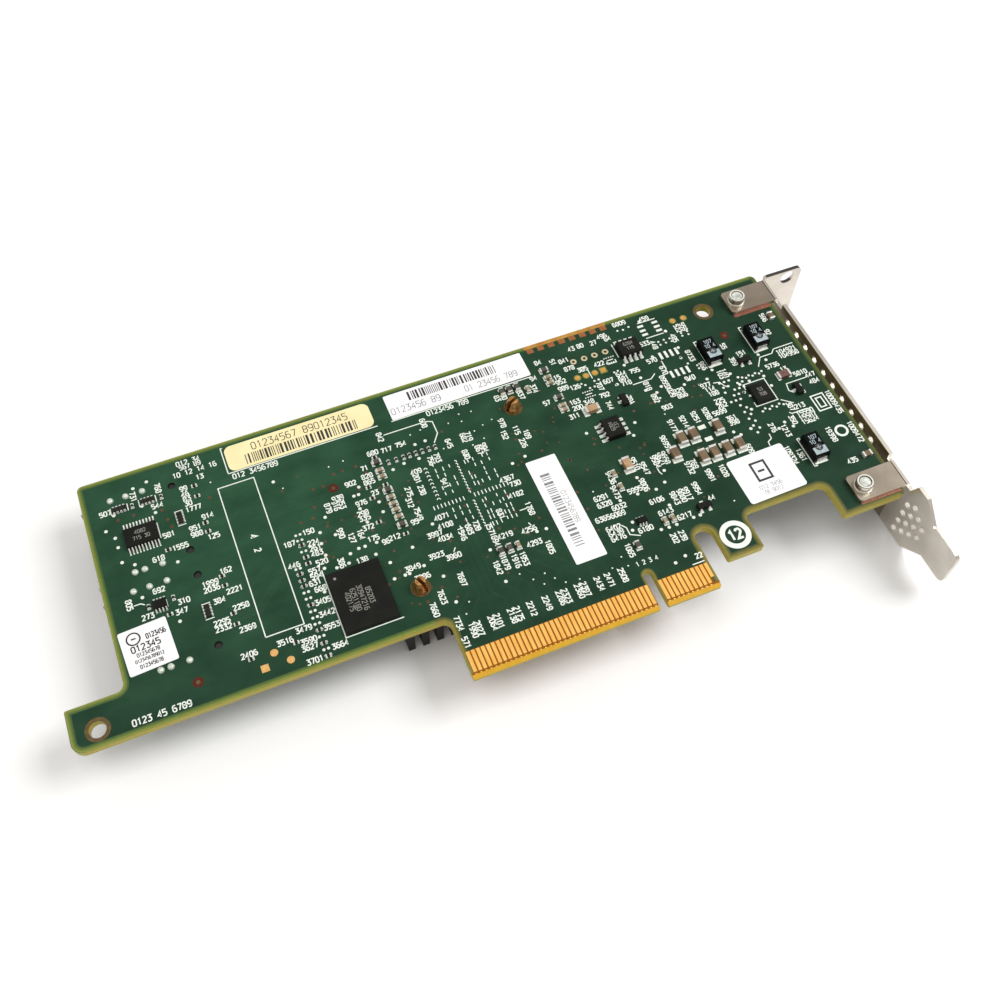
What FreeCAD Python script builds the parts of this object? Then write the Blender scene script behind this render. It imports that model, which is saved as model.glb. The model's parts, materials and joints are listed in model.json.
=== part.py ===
import FreeCAD, Part
import math
import os

os.makedirs("parts", exist_ok=True)
V = FreeCAD.Vector

# Frame: the origin is on the solder face of the board, on the centre line of the key notch, at the tip
# of the connector tongue. +X runs along the card to the slot bracket, +Y from the tongue to the top edge,
# and +Z out of the solder face. All sizes are in millimetres.

# circuit board
board_thickness = 1.57
board_height = 68.9
body_length = 156.6
tail_length = 11.1
right_edge_x = 57.4
lower_edge_y = 13.0
tail_width = 9.0
leg_bottom_y = 4.55
body_corner_radius = 1.2
tail_corner_radius = 2.4
inner_corner_radius = 1.6
leg_corner_radius = 0.4

# connector tongue and its contacts
contact_pitch = 1.0
contact_width = 0.7
contact_length = 4.3
short_contact_length = 3.2
contact_top_y = 5.6
plating_thickness = 0.05
first_contact_x = 1.5
contacts_before_key = 38
contacts_after_key = 11
tongue_margin = 0.85
key_width = 1.9
key_depth = 8.4
tongue_bevel_length = 1.2
tongue_bevel_depth = 0.45

# cut-outs between the tongue and the bracket
slot_width = 4.05
small_leg_width = 7.8
wide_notch_width = 18.8
notch_top_y = 12.9
notch_corner_radius = 1.7

# round holes in the board
mounting_hole_radius = 1.6
tail_hole_inset = 5.0
tail_hole_height = 3.4
upper_hole_x = 41.55
upper_hole_drop = 5.65
push_pin_hole_radius = 1.6
peg_hole_radius = 0.8
board_hole_clearance = 0.1

# slot bracket
bracket_gap = 1.0
bracket_thickness = 0.86
bend_inner_radius = 0.15
bracket_length = 79.2
bracket_low_z = -15.3
bracket_high_z = 3.1
rail_high_z = 1.55
foot_face_y = 66.9
foot_reach = 9.55
foot_high_z = 1.2
foot_hole_radius = 1.8
foot_hole_end_inset = 3.45
foot_hole_side_inset = 2.2
foot_corner_radius = 1.4
tab_length = 12.2
tab_width = 6.3
lower_tab_y = 9.0
upper_tab_y = 62.8
tab_relief = 2.4
tab_corner_radius = 0.9
bracket_tongue_width = 10.2
bracket_tongue_high_z = -0.35
bracket_tongue_start_y = -5.3
bracket_taper_top_y = 0.0
bracket_wide_end_y = 0.3
bracket_shoulder_step = 0.5
bracket_shoulder_depth = 0.85
bracket_tongue_radius = 1.6
vent_radius = 0.88
vent_pitch_z = 3.05
vent_rows = 4
vent_columns = 23
vent_sides = 6
vent_column_step = 1.925
first_vent_y = 54.4
first_vent_z = -2.2
low_vent_y = 3.5
low_vent_step = 1.95
low_vent_columns = ((4, -3.9), (4, -2.3), (3, -3.8), (2, -5.2))
pad_thickness = 0.05
pad_edge_inset = 0.6
pad_end_inset = 0.4
lower_pad_reveal = 0.35
upper_pad_reveal = 0.7

# bracket screws and the threaded collars that they enter
screw_radius = 1.4
thread_clearance = 0.03
collar_radius = 1.8
collar_height = 1.75
collar_chamfer = 0.15
screw_tip_chamfer = 0.3
screw_tip_drop = 0.1
screw_recess_length = 2.6
screw_recess_width = 0.6
screw_recess_depth = 0.9
screw_head_radius = 2.7
screw_head_height = 1.7
screw_x = 49.5

# controller stack under the board
controller_x = -25.4
controller_y = 38.0
substrate_side = 27.0
substrate_height = 1.2
die_side = 12.5
die_height = 0.8
thermal_pad_height = 0.3
heatsink_width = 44.0
heatsink_depth = 45.0
heatsink_base = 2.6
heatsink_height = 9.3
fin_count_x = 15
fin_count_y = 7
fin_thickness = 1.6
fin_tip_width = 1.4
fin_gap_y = 1.6
fin_clear_radius = 3.4
fin_shortest = 1.2
push_pin_spread = 33.0
push_pin_shaft_radius = 1.35
push_pin_head_radius = 3.0
push_pin_head_height = 1.2
push_pin_barb_radius = 1.75
push_pin_barb_gap = 0.02
push_pin_barb_height = 0.7
push_pin_tip_radius = 1.0
push_pin_tail_height = 2.7
push_pin_slit = 0.7
spring_height = 3.6
spring_coil_radius = 2.15
spring_wire_radius = 0.3
spring_wire_sides = 4
spring_turns = 3
sliding_clearance = 0.15

# drive ports at the rear edge
port_width = 18.2
port_depth = 20.4
port_height = 10.4
port_overhang = 0.6
port_wall = 0.3
port_centre_y = (54.25, 32.3)
port_names = ("upper", "lower")
port_cavity_depth = 9.0
port_block_wall = 0.9
port_blade_height = 2.2
port_blade_inset = 3.0
port_blade_gap = 0.3
port_slot_height = 1.1
port_slot_depth = 8.5
port_contact_pitch = 0.8
port_contact_width = 0.34
port_contact_thickness = 0.2
port_contacts_per_row = 18
port_leg_radius = 0.35
port_leg_root = 0.5
port_leg_clearance = 0.1
port_upper_leg_x = (6.4, 9.5, 12.9)
port_lower_leg_x = (7.6, 9.5, 13.0)
port_peg_radius = 0.7
port_peg_spread = 16.0
port_peg_x = 18.7
solder_radius = 0.68
solder_top_radius = 0.4
solder_sides = 8
solder_height = 0.55

# labels
label_thickness = 0.1

# moulded chips with leads: length, width, height, leads a side, pitch, span over the leads, lead width
driver_package = (6.5, 4.4, 1.1, 10, 0.65, 6.4, 0.24)
eight_lead_package = (4.9, 3.9, 1.6, 4, 1.27, 6.2, 0.42)
small_logic_package = (2.5, 1.9, 0.9, 4, 0.65, 3.1, 0.25)
tiny_logic_package = (2.0, 1.3, 0.9, 3, 0.65, 2.1, 0.25)
moulding_standoff = 0.1
moulding_bevel = 0.15
lead_thickness = 0.16
lead_foot_share = 0.5
lead_rise_share = 0.55

# moulded transistors with three legs
transistor_length = 2.9
transistor_width = 1.35
transistor_height = 1.0
transistor_span = 2.4
transistor_leg_width = 0.42
transistor_leg_pitch = 0.95
transistor_leg_foot = 0.3

# moulded parts with metal straps round their ends: length, width, height
tantalum_package = (6.2, 3.4, 2.5)
polymer_package = (7.3, 4.3, 2.8)
strap_thickness = 0.15
strap_foot = 1.4
strap_width_share = 0.68
strap_height_share = 0.5

# packages whose contacts are hidden under them: length, width, height
flash_memory_package = (10.7, 13.4, 1.0)
regulator_package = (4.2, 5.0, 0.85)
inductor_package = (7.0, 7.0, 4.0)
crystal_package = (5.0, 3.2, 1.0)
backup_memory_package = (11.0, 8.0, 1.0)

# two-terminal chips: length, width, height, length of each metal end
large_capacitor = (3.2, 1.6, 1.2, 0.5)
small_capacitor = (1.6, 0.8, 0.7, 0.3)
ferrite_bead = (1.8, 1.0, 0.8, 0.3)
shunt_resistor = (3.0, 1.7, 0.8, 0.45)
tiny_resistor = (1.0, 0.5, 0.4, 0.22)
activity_light = (1.6, 0.8, 0.6, 0.3)

# resistor arrays
array_length = 2.7
array_width = 1.1
array_height = 0.45
array_pitch = 0.7
array_end_length = 0.4
array_end_width = 0.25
array_end_height = 0.42

solder_side = 1
component_side = -1

rear_edge_x = right_edge_x - body_length
tail_end_x = rear_edge_x - tail_length
tail_top_y = lower_edge_y + tail_width
tongue_left_x = -(first_contact_x + (contacts_before_key - 1) * contact_pitch + tongue_margin)
tongue_right_x = first_contact_x + (contacts_after_key - 1) * contact_pitch + tongue_margin
small_leg_left_x = tongue_right_x + slot_width
small_leg_right_x = small_leg_left_x + small_leg_width
wide_notch_right_x = small_leg_right_x + wide_notch_width
tail_hole = (tail_end_x + tail_hole_inset, lower_edge_y + tail_hole_height)
upper_hole = (upper_hole_x, board_height - upper_hole_drop)
bracket_inner_x = right_edge_x + bracket_gap
bracket_outer_x = bracket_inner_x + bracket_thickness
bend_outer_radius = bend_inner_radius + bracket_thickness
tab_high_z = pad_thickness + bracket_thickness
tab_bend_z = tab_high_z - bend_outer_radius
tab_left_x = bracket_outer_x - tab_length
push_pins = (
    (controller_x + push_pin_spread / 2, controller_y + push_pin_spread / 2, 25),
    (controller_x - push_pin_spread / 2, controller_y - push_pin_spread / 2, 115),
)
heatsink_top_z = -board_thickness - substrate_height - die_height - thermal_pad_height
heatsink_face_z = heatsink_top_z - heatsink_base


def box(x0, x1, y0, y1, z0, z1):
    return Part.makeBox(x1 - x0, y1 - y0, z1 - z0, V(x0, y0, z0))


def block(x, y, length, width, z0, z1):
    return box(x - length / 2, x + length / 2, y - width / 2, y + width / 2, z0, z1)


def disc(x, y, radius, z0, z1):
    return Part.makeCylinder(radius, z1 - z0, V(x, y, z0))


def flat_face(corners):
    return Part.Face(Part.makePolygon(corners + corners[:1]))


def prism(points, direction):
    return flat_face([V(*p) for p in points]).extrude(V(*direction))


def on_corner(edge, x, y):
    ends = edge.Vertexes
    return len(ends) == 2 and all(math.hypot(v.X - x, v.Y - y) < 0.01 for v in ends)


def rounded(shape, corners):
    for x, y, radius in corners:
        edges = [edge for edge in shape.Edges if on_corner(edge, x, y)]
        shape = shape.makeFillet(radius, edges)
    return shape


def fused(shapes):
    return shapes[0].multiFuse(shapes[1:]).removeSplitter() if len(shapes) > 1 else shapes[0]


def save(name, shapes):
    solids = [solid for shape in shapes for solid in shape.Solids]
    whole = solids[0] if len(solids) == 1 else Part.Compound(solids)
    whole.exportStep("parts/" + name + ".step")


def flipped(shape):
    turn = V(0, 0, -board_thickness / 2)
    return shape.mirror(turn, V(0, 0, 1))


def turned(shape, x, y, angle):
    shape.rotate(V(x, y, 0), V(0, 0, 1), angle)
    return shape


def placed(shapes, x, y, angle, side):
    moved = []
    for shape in shapes:
        copy = shape.copy()
        copy.rotate(V(0, 0, 0), V(0, 0, 1), angle)
        copy.translate(V(x, y, 0))
        moved.append(copy if side == solder_side else flipped(copy))
    return moved


# board

def circuit_board():
    outline = [
        (tail_end_x, lower_edge_y),
        (tongue_left_x, lower_edge_y),
        (tongue_left_x, 0),
        (tongue_right_x, 0),
        (tongue_right_x, notch_top_y + 1),
        (small_leg_left_x, notch_top_y + 1),
        (small_leg_left_x, leg_bottom_y),
        (small_leg_right_x, leg_bottom_y),
        (small_leg_right_x, notch_top_y),
        (wide_notch_right_x, notch_top_y),
        (wide_notch_right_x, leg_bottom_y),
        (right_edge_x, leg_bottom_y),
        (right_edge_x, board_height),
        (rear_edge_x, board_height),
        (rear_edge_x, tail_top_y),
        (tail_end_x, tail_top_y),
    ]
    board = prism([(x, y, -board_thickness) for x, y in outline], (0, 0, board_thickness))
    slot_radius = slot_width / 2
    slot_x = tongue_right_x + slot_radius
    cap = box(tongue_right_x - 0.2, small_leg_left_x + 0.2, notch_top_y - slot_radius, notch_top_y + 2,
              -board_thickness, 0)
    board = board.fuse(cap).removeSplitter()
    board = board.cut(disc(slot_x, notch_top_y - slot_radius, slot_radius, -3, 1))
    board = rounded(board, [
        (tail_end_x, lower_edge_y, tail_corner_radius),
        (tail_end_x, tail_top_y, leg_corner_radius),
        (rear_edge_x, tail_top_y, inner_corner_radius),
        (rear_edge_x, board_height, body_corner_radius),
        (right_edge_x, board_height, body_corner_radius),
        (right_edge_x, leg_bottom_y, body_corner_radius),
        (wide_notch_right_x, leg_bottom_y, leg_corner_radius),
        (wide_notch_right_x, notch_top_y, notch_corner_radius),
        (small_leg_right_x, notch_top_y, notch_corner_radius),
        (small_leg_right_x, leg_bottom_y, leg_corner_radius),
        (small_leg_left_x, leg_bottom_y, leg_corner_radius),
        (tongue_left_x, lower_edge_y, inner_corner_radius),
        (tongue_left_x, 0, leg_corner_radius),
        (tongue_right_x, 0, leg_corner_radius),
    ])
    key_radius = key_width / 2
    key = box(-key_radius, key_radius, -1, key_depth - key_radius, -3, 1)
    board = board.cut(key.fuse(disc(0, key_depth - key_radius, key_radius, -3, 1)))
    for near_z, far_z in ((0, -tongue_bevel_depth), (-board_thickness, tongue_bevel_depth - board_thickness)):
        wedge = [(tongue_left_x - 1, 0, near_z), (tongue_left_x - 1, tongue_bevel_length, near_z),
                 (tongue_left_x - 1, 0, far_z)]
        board = board.cut(prism(wedge, (tongue_right_x - tongue_left_x + 1.9, 0, 0)))
    holes = [disc(x, y, mounting_hole_radius, -3, 1) for x, y in (tail_hole, upper_hole)]
    holes += [disc(x, y, push_pin_hole_radius, -3, 1) for x, y, angle in push_pins]
    holes += [disc(x, y, peg_hole_radius, -3, 1) for x, y in peg_places()]
    holes += [block(x, leg_y, 2 * port_leg_radius + port_leg_clearance, port_wall + port_leg_clearance, -3, 1)
              for y in port_centre_y for x, leg_y in leg_places(y)]
    holes += [disc(screw_x, y, screw_radius + board_hole_clearance, -3, 1) for y in (lower_tab_y, upper_tab_y)]
    return board.cut(Part.Compound(holes))


def edge_contacts():
    right = [first_contact_x + i * contact_pitch for i in range(contacts_after_key)]
    left = [-(first_contact_x + i * contact_pitch) for i in range(contacts_before_key)]
    contacts = []
    for x in right + left:
        length = short_contact_length if x == right[-1] else contact_length
        contact = box(x - contact_width / 2, x + contact_width / 2, contact_top_y - length, contact_top_y,
                      0, plating_thickness)
        contacts += [contact, flipped(contact)]
    return contacts


def bracket_pads():
    pads = []
    for y, reveal in ((lower_tab_y, lower_pad_reveal), (upper_tab_y, upper_pad_reveal)):
        low_y = y - tab_width / 2 - reveal
        pad = box(tab_left_x + pad_end_inset, right_edge_x - pad_edge_inset, low_y, y + tab_width / 2, 0,
                  pad_thickness)
        pads.append(pad.cut(disc(screw_x, y, screw_radius + board_hole_clearance, -1, 1)))
    return pads


# bracket

def bracket_outline():
    tongue_low_z = bracket_tongue_high_z - bracket_tongue_width
    tongue_end_y = foot_face_y - bracket_length
    shoulder_y = bracket_tongue_start_y + bracket_shoulder_step
    lower_tab_top = lower_tab_y + tab_width / 2
    return [
        (foot_face_y - bend_outer_radius, bracket_low_z),
        (bracket_taper_top_y, bracket_low_z),
        (bracket_tongue_start_y, tongue_low_z),
        (tongue_end_y, tongue_low_z),
        (tongue_end_y, bracket_tongue_high_z),
        (shoulder_y, bracket_tongue_high_z),
        (shoulder_y + bracket_shoulder_step, bracket_tongue_high_z - bracket_shoulder_depth),
        (bracket_wide_end_y, bracket_high_z),
        (lower_tab_y - tab_width / 2 - tab_relief, bracket_high_z),
        (lower_tab_y - tab_width / 2 - tab_relief / 2, tab_bend_z),
        (lower_tab_top + tab_relief / 2, tab_bend_z),
        (lower_tab_top + tab_relief / 2, rail_high_z),
        (upper_tab_y - tab_width / 2 - tab_relief, rail_high_z),
        (upper_tab_y - tab_width / 2 - tab_relief, tab_bend_z),
        (foot_face_y - bend_outer_radius, tab_bend_z),
    ]


def vent_places():
    places = []
    for column in range(vent_columns):
        top_z = first_vent_z - vent_pitch_z / 2 * (column % 2)
        y = first_vent_y - vent_column_step * column
        places += [(y, top_z - vent_pitch_z * row) for row in range(vent_rows)]
    for column, (rows, top_z) in enumerate(low_vent_columns):
        y = low_vent_y - low_vent_step * column
        places += [(y, top_z - vent_pitch_z * row) for row in range(rows)]
    return places


def vent(y, z):
    turns = [2 * math.pi * (number + 0.5) / vent_sides for number in range(vent_sides)]
    start_x = bracket_inner_x - 1
    corners = [(start_x, y + vent_radius * math.cos(a), z + vent_radius * math.sin(a)) for a in turns]
    return prism(corners, (bracket_thickness + 2, 0, 0))


def bracket_tab(y):
    low_y = y - tab_width / 2
    high_y = low_y + tab_width
    bend_x = bracket_outer_x - bend_outer_radius
    flat = box(tab_left_x, bend_x, low_y, high_y, pad_thickness, tab_high_z)
    flat = rounded(flat, [(tab_left_x, low_y, tab_corner_radius), (tab_left_x, high_y, tab_corner_radius)])
    centre = V(bend_x, low_y, tab_bend_z)
    bend = Part.makeCylinder(bend_outer_radius, tab_width, centre, V(0, 1, 0))
    bend = bend.cut(Part.makeCylinder(bend_inner_radius, tab_width, centre, V(0, 1, 0)))
    bend = bend.common(box(bend_x, bracket_outer_x + 1, low_y, high_y, tab_bend_z, tab_high_z + 1))
    collar_top_z = tab_high_z + collar_height
    collar = disc(screw_x, y, collar_radius, tab_high_z, collar_top_z)
    rims = [edge for edge in collar.Edges if edge.Closed and abs(edge.Vertexes[0].Z - collar_top_z) < 0.01]
    collar = collar.makeChamfer(collar_chamfer, rims)
    return [flat, bend, collar]


def short_edges(shape):
    return [edge for edge in shape.Edges if abs(edge.Length - bracket_thickness) < 0.01]


def bracket():
    face = prism([(bracket_inner_x, y, z) for y, z in bracket_outline()], (bracket_thickness, 0, 0))
    tongue_end_y = foot_face_y - bracket_length
    tips = [edge for edge in short_edges(face) if all(abs(v.Y - tongue_end_y) < 0.01 for v in edge.Vertexes)]
    face = face.makeFillet(bracket_tongue_radius, tips)
    centre = V(bracket_inner_x + bend_outer_radius, foot_face_y - bend_outer_radius, bracket_low_z)
    height = foot_high_z - bracket_low_z
    bend = Part.makeCylinder(bend_outer_radius, height, centre)
    bend = bend.cut(Part.makeCylinder(bend_inner_radius, height, centre))
    quarter = box(bracket_inner_x - 1, centre.x, centre.y, foot_face_y + 1, bracket_low_z, foot_high_z)
    bend = bend.common(quarter)
    foot_end_x = bracket_outer_x + foot_reach
    foot_back_y = foot_face_y - bracket_thickness
    foot = box(centre.x, foot_end_x, foot_back_y, foot_face_y, bracket_low_z, foot_high_z)
    corners = [edge for edge in short_edges(foot) if all(abs(v.X - foot_end_x) < 0.01 for v in edge.Vertexes)]
    foot = foot.makeFillet(foot_corner_radius, corners)
    foot_hole_x = foot_end_x - foot_hole_end_inset
    foot_hole_z = foot_high_z - foot_hole_side_inset
    hole_start = V(foot_hole_x, foot_face_y + 1, foot_hole_z)
    foot = foot.cut(Part.makeCylinder(foot_hole_radius, bracket_thickness + 2, hole_start, V(0, -1, 0)))
    pieces = [face, bend, foot] + bracket_tab(lower_tab_y) + bracket_tab(upper_tab_y)
    whole = fused(pieces)
    cuts = [vent(y, z) for y, z in vent_places()]
    cuts += [disc(screw_x, y, screw_radius + thread_clearance, -1, 5) for y in (lower_tab_y, upper_tab_y)]
    return whole.cut(Part.Compound(cuts))


def bracket_screw(y):
    tip_z = tab_high_z + collar_height - screw_tip_drop
    shaft = disc(screw_x, y, screw_radius, -board_thickness, tip_z)
    rims = [edge for edge in shaft.Edges if edge.Closed and abs(edge.Vertexes[0].Z - tip_z) < 0.01]
    shaft = shaft.makeChamfer(screw_tip_chamfer, rims)
    head_z = -board_thickness - screw_head_height
    head = disc(screw_x, y, screw_head_radius, head_z, -board_thickness)
    rims = [edge for edge in head.Edges if edge.Closed and abs(edge.Vertexes[0].Z - head_z) < 0.01]
    head = head.makeChamfer(screw_head_height / 3, rims)
    top_z = head_z + screw_recess_depth
    recess = block(screw_x, y, screw_recess_length, screw_recess_width, head_z - 1, top_z)
    recess = recess.fuse(block(screw_x, y, screw_recess_width, screw_recess_length, head_z - 1, top_z))
    return shaft.fuse(head).cut(recess).removeSplitter()


# controller stack

def spans_clear_of_pins(x, y0, y1):
    spans = [(y0, y1)]
    for pin_x, pin_y, angle in push_pins:
        gap = max(abs(x - pin_x) - fin_thickness / 2, 0)
        if gap < fin_clear_radius:
            reach = math.sqrt(fin_clear_radius ** 2 - gap ** 2)
            below = [(a, min(b, pin_y - reach)) for a, b in spans]
            above = [(max(a, pin_y + reach), b) for a, b in spans]
            spans = below + above
    return [(a, b) for a, b in spans if b - a > fin_shortest]


def heatsink():
    low_z = heatsink_top_z - heatsink_height
    base = block(controller_x, controller_y, heatsink_width, heatsink_depth, heatsink_face_z, heatsink_top_z)
    pitch_x = (heatsink_width - fin_thickness) / (fin_count_x - 1)
    fin_length = (heatsink_depth - (fin_count_y - 1) * fin_gap_y) / fin_count_y
    profile = [
        (-fin_thickness / 2, heatsink_face_z),
        (-fin_tip_width / 2, low_z),
        (fin_tip_width / 2, low_z),
        (fin_thickness / 2, heatsink_face_z),
    ]
    fins = []
    for row in range(fin_count_y):
        y = controller_y - heatsink_depth / 2 + row * (fin_length + fin_gap_y)
        for column in range(fin_count_x):
            x = controller_x - (heatsink_width - fin_thickness) / 2 + column * pitch_x
            for near_y, far_y in spans_clear_of_pins(x, y, y + fin_length):
                fins.append(prism([(x + dx, near_y, z) for dx, z in profile], (0, far_y - near_y, 0)))
    sink = fused([base] + fins)
    holes = [disc(x, y, push_pin_shaft_radius + sliding_clearance, low_z, heatsink_top_z + 1)
             for x, y, angle in push_pins]
    return sink.cut(Part.Compound(holes))


def push_pin(x, y, angle):
    head_z = heatsink_face_z - spring_height
    points = [
        (0, head_z - push_pin_head_height),
        (push_pin_head_radius, head_z - push_pin_head_height),
        (push_pin_head_radius, head_z),
        (push_pin_shaft_radius, head_z),
        (push_pin_shaft_radius, push_pin_barb_gap),
        (push_pin_barb_radius, push_pin_barb_gap),
        (push_pin_barb_radius, push_pin_barb_height),
        (push_pin_tip_radius, push_pin_tail_height),
        (0, push_pin_tail_height),
    ]
    section = flat_face([V(radius, 0, z) for radius, z in points])
    pin = section.revolve(V(0, 0, 0), V(0, 0, 1), 360)
    slit = block(0, 0, 8, push_pin_slit, -board_thickness - 1, push_pin_tail_height + 1)
    pin = pin.cut(slit)
    return turned_and_moved(pin, x, y, angle)


def turned_and_moved(shape, x, y, angle):
    shape.rotate(V(0, 0, 0), V(0, 0, 1), angle)
    shape.translate(V(x, y, 0))
    return shape


def push_pin_spring(x, y):
    travel = spring_height - 2 * spring_wire_radius - 0.04
    helix = Part.makeHelix(travel / spring_turns, travel, spring_coil_radius)
    corners = []
    for number in range(spring_wire_sides + 1):
        turn = 2 * math.pi * number / spring_wire_sides
        corners.append(V(spring_coil_radius + spring_wire_radius * math.cos(turn), 0,
                         spring_wire_radius * math.sin(turn)))
    spring = Part.Wire(helix.Edges).makePipeShell([Part.makePolygon(corners)], True, True)
    spring.translate(V(x, y, heatsink_face_z - spring_height + spring_wire_radius + 0.02))
    return spring


# drive ports

def port_front_x():
    return rear_edge_x - port_overhang


def peg_places():
    x = port_front_x() + port_peg_x
    return [(x, y + side * port_peg_spread / 2) for y in port_centre_y for side in (-1, 1)]


def leg_places(y):
    reach = (port_width - port_wall) / 2
    rows = ((y + reach, port_upper_leg_x), (y - reach, port_lower_leg_x))
    return [(port_front_x() + x, leg_y) for leg_y, offsets in rows for x in offsets]


def port_shell(y):
    front = port_front_x()
    high_z = -board_thickness
    low_z = high_z - port_height
    outer = box(front, front + port_depth, y - port_width / 2, y + port_width / 2, low_z, high_z)
    inner = box(front - 1, front + port_depth - port_wall, y - port_width / 2 + port_wall,
                y + port_width / 2 - port_wall, low_z + port_wall, high_z + 1)
    shell = outer.cut(inner)
    windows = [block(front + 5.2, y + side * 5.0, 2.2, 3.4, low_z - 1, low_z + 1) for side in (-1, 1)]
    slots = [block(front + 3.4, y + side * 1.6, 6.8, 0.4, low_z - 1, low_z + 1) for side in (-1, 1)]
    shell = shell.cut(Part.Compound(windows + slots))
    legs = [block(x, leg_y, 2 * port_leg_radius, port_wall, high_z - port_leg_root, 0)
            for x, leg_y in leg_places(y)]
    return fused([shell] + legs)


def port_insulator(y):
    front = port_front_x()
    high_z = -board_thickness
    low_z = high_z - port_height + port_wall
    half = port_width / 2 - port_wall
    body = box(front + 0.8, front + port_depth - port_wall, y - half, y + half, low_z, high_z)
    cavity = box(front, front + port_cavity_depth, y - half + port_block_wall, y + half - port_block_wall,
                 low_z + port_block_wall, high_z - port_block_wall)
    body = body.cut(cavity)
    middle_z = (low_z + high_z) / 2
    blade_half = half - port_block_wall - port_blade_gap
    blade = box(front + port_blade_inset, front + port_cavity_depth, y - blade_half, y + blade_half,
                middle_z - port_blade_height, middle_z + port_blade_height)
    body = body.fuse(blade)
    slot_half = (port_contacts_per_row * port_contact_pitch) / 2
    card_slot = box(front, front + port_slot_depth, y - slot_half, y + slot_half,
                    middle_z - port_slot_height, middle_z + port_slot_height)
    body = body.cut(card_slot)
    pegs = [disc(x, peg_y, port_peg_radius, high_z - 0.2, -0.4) for x, peg_y in peg_places()
            if abs(peg_y - y) < port_width / 2]
    return fused([body] + pegs)


def port_contacts(y):
    front = port_front_x()
    high_z = -board_thickness
    low_z = high_z - port_height + port_wall
    middle_z = (low_z + high_z) / 2
    contacts = []
    for number in range(port_contacts_per_row):
        contact_y = y + (number - (port_contacts_per_row - 1) / 2) * port_contact_pitch
        for z in (middle_z - port_slot_height, middle_z + port_slot_height - port_contact_thickness):
            contacts.append(box(front + port_blade_inset + 0.4, front + port_slot_depth,
                                contact_y - port_contact_width / 2, contact_y + port_contact_width / 2,
                                z, z + port_contact_thickness))
    return contacts


def polygon(x, y, z, radius, sides):
    turns = [2 * math.pi * (number + 0.5) / sides for number in range(sides)]
    return [V(x + radius * math.cos(a), y + radius * math.sin(a), z) for a in turns]


def solder_joint(x, y):
    foot = polygon(x, y, 0, solder_radius, solder_sides)
    top = polygon(x, y, solder_height, solder_top_radius, solder_sides)
    faces = [flat_face(foot), flat_face(top)]
    for number in range(solder_sides):
        after = (number + 1) % solder_sides
        faces.append(flat_face([foot[number], foot[after], top[after], top[number]]))
    return Part.Solid(Part.Shell(faces))


def solder_joints():
    joints = []
    for y in port_centre_y:
        joints += [solder_joint(x, leg_y) for x, leg_y in leg_places(y)]
    return joints


# chips

def lead(width, start, end, foot, rise):
    knee = end - foot
    half = lead_thickness / 2
    profile = [
        (start, rise + half),
        (knee + half, lead_thickness),
        (end, lead_thickness),
        (end, 0),
        (knee, 0),
        (start, rise - half),
    ]
    return prism([(-width / 2, y, z) for y, z in profile], (width, 0, 0))


def leaded_chip(length, width, height, count, pitch, span, lead_width):
    body = bevelled(block(0, 0, length, width, moulding_standoff, height), height)
    leads = []
    for number in range(count):
        x = (number - (count - 1) / 2) * pitch
        foot = (span - width) / 2 * lead_foot_share
        near = lead(lead_width, width / 2, span / 2, foot, height * lead_rise_share)
        far = near.copy()
        near.translate(V(x, 0, 0))
        far.rotate(V(0, 0, 0), V(0, 0, 1), 180)
        far.translate(V(x, 0, 0))
        leads += [near, far]
    return body, leads


def bevelled(body, height):
    rims = [edge for edge in body.Edges if all(abs(v.Z - height) < 0.01 for v in edge.Vertexes)]
    return body.makeChamfer(moulding_bevel, rims)


def transistor():
    height = transistor_height
    body = block(0, 0, transistor_length, transistor_width, moulding_standoff, height)
    start = transistor_width / 2
    legs = []
    for x, way in ((-transistor_leg_pitch, 180), (transistor_leg_pitch, 180), (0, 0)):
        leg = lead(transistor_leg_width, start, transistor_span / 2, transistor_leg_foot, height / 2)
        leg.rotate(V(0, 0, 0), V(0, 0, 1), way)
        leg.translate(V(x, 0, 0))
        legs.append(leg)
    return [bevelled(body, height)], legs


def strapped_chip(length, width, height):
    body = block(0, 0, length - 2 * strap_thickness, width, strap_thickness, height)
    strap_width = width * strap_width_share
    straps = []
    for side in (-1, 1):
        end_x = side * (length - strap_thickness) / 2
        upright = block(end_x, 0, strap_thickness, strap_width, 0, height * strap_height_share)
        foot = block(side * (length - strap_foot) / 2, 0, strap_foot, strap_width, 0, strap_thickness)
        straps.append(upright.fuse(foot).removeSplitter())
    return [bevelled(body, height)], straps


def eight_lead_chip():
    body, leads = leaded_chip(*eight_lead_package)
    return [body], leads


def package(sizes):
    length, width, height = sizes
    return block(0, 0, length, width, 0, height)


def chip_part(length, width, height, cap):
    body = block(0, 0, length - 2 * cap, width, 0, height)
    ends = [block(side * (length - cap) / 2, 0, cap, width, 0, height) for side in (-1, 1)]
    return [body], ends


def resistor_array():
    body = block(0, 0, array_length, array_width, 0, array_height)
    end_y = (array_width + array_end_width) / 2
    ends = []
    for number in range(4):
        x = (number - 1.5) * array_pitch
        for y in (-end_y, end_y):
            ends.append(block(x, y, array_end_length, array_end_width, 0, array_end_height))
    return [body], ends


def spread(make, places, side=solder_side):
    bodies, metal = [], []
    for x, y, angle in places:
        parts = make()
        bodies += placed(parts[0], x, y, angle, side)
        metal += placed(parts[1], x, y, angle, side)
    return bodies, metal


def label(x0, x1, y0, y1, radius, angle):
    sheet = box(x0, x1, y0, y1, 0, label_thickness)
    sheet = rounded(sheet, [(x, y, radius) for x in (x0, x1) for y in (y0, y1)])
    return turned(sheet, (x0 + x1) / 2, (y0 + y1) / 2, angle)


# the card

save("circuit_board", [circuit_board()])
save("edge_contacts", edge_contacts())
save("bracket_pads", bracket_pads())
save("bracket", [bracket()])
save("bracket_screws", [bracket_screw(lower_tab_y), bracket_screw(upper_tab_y)])

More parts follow.
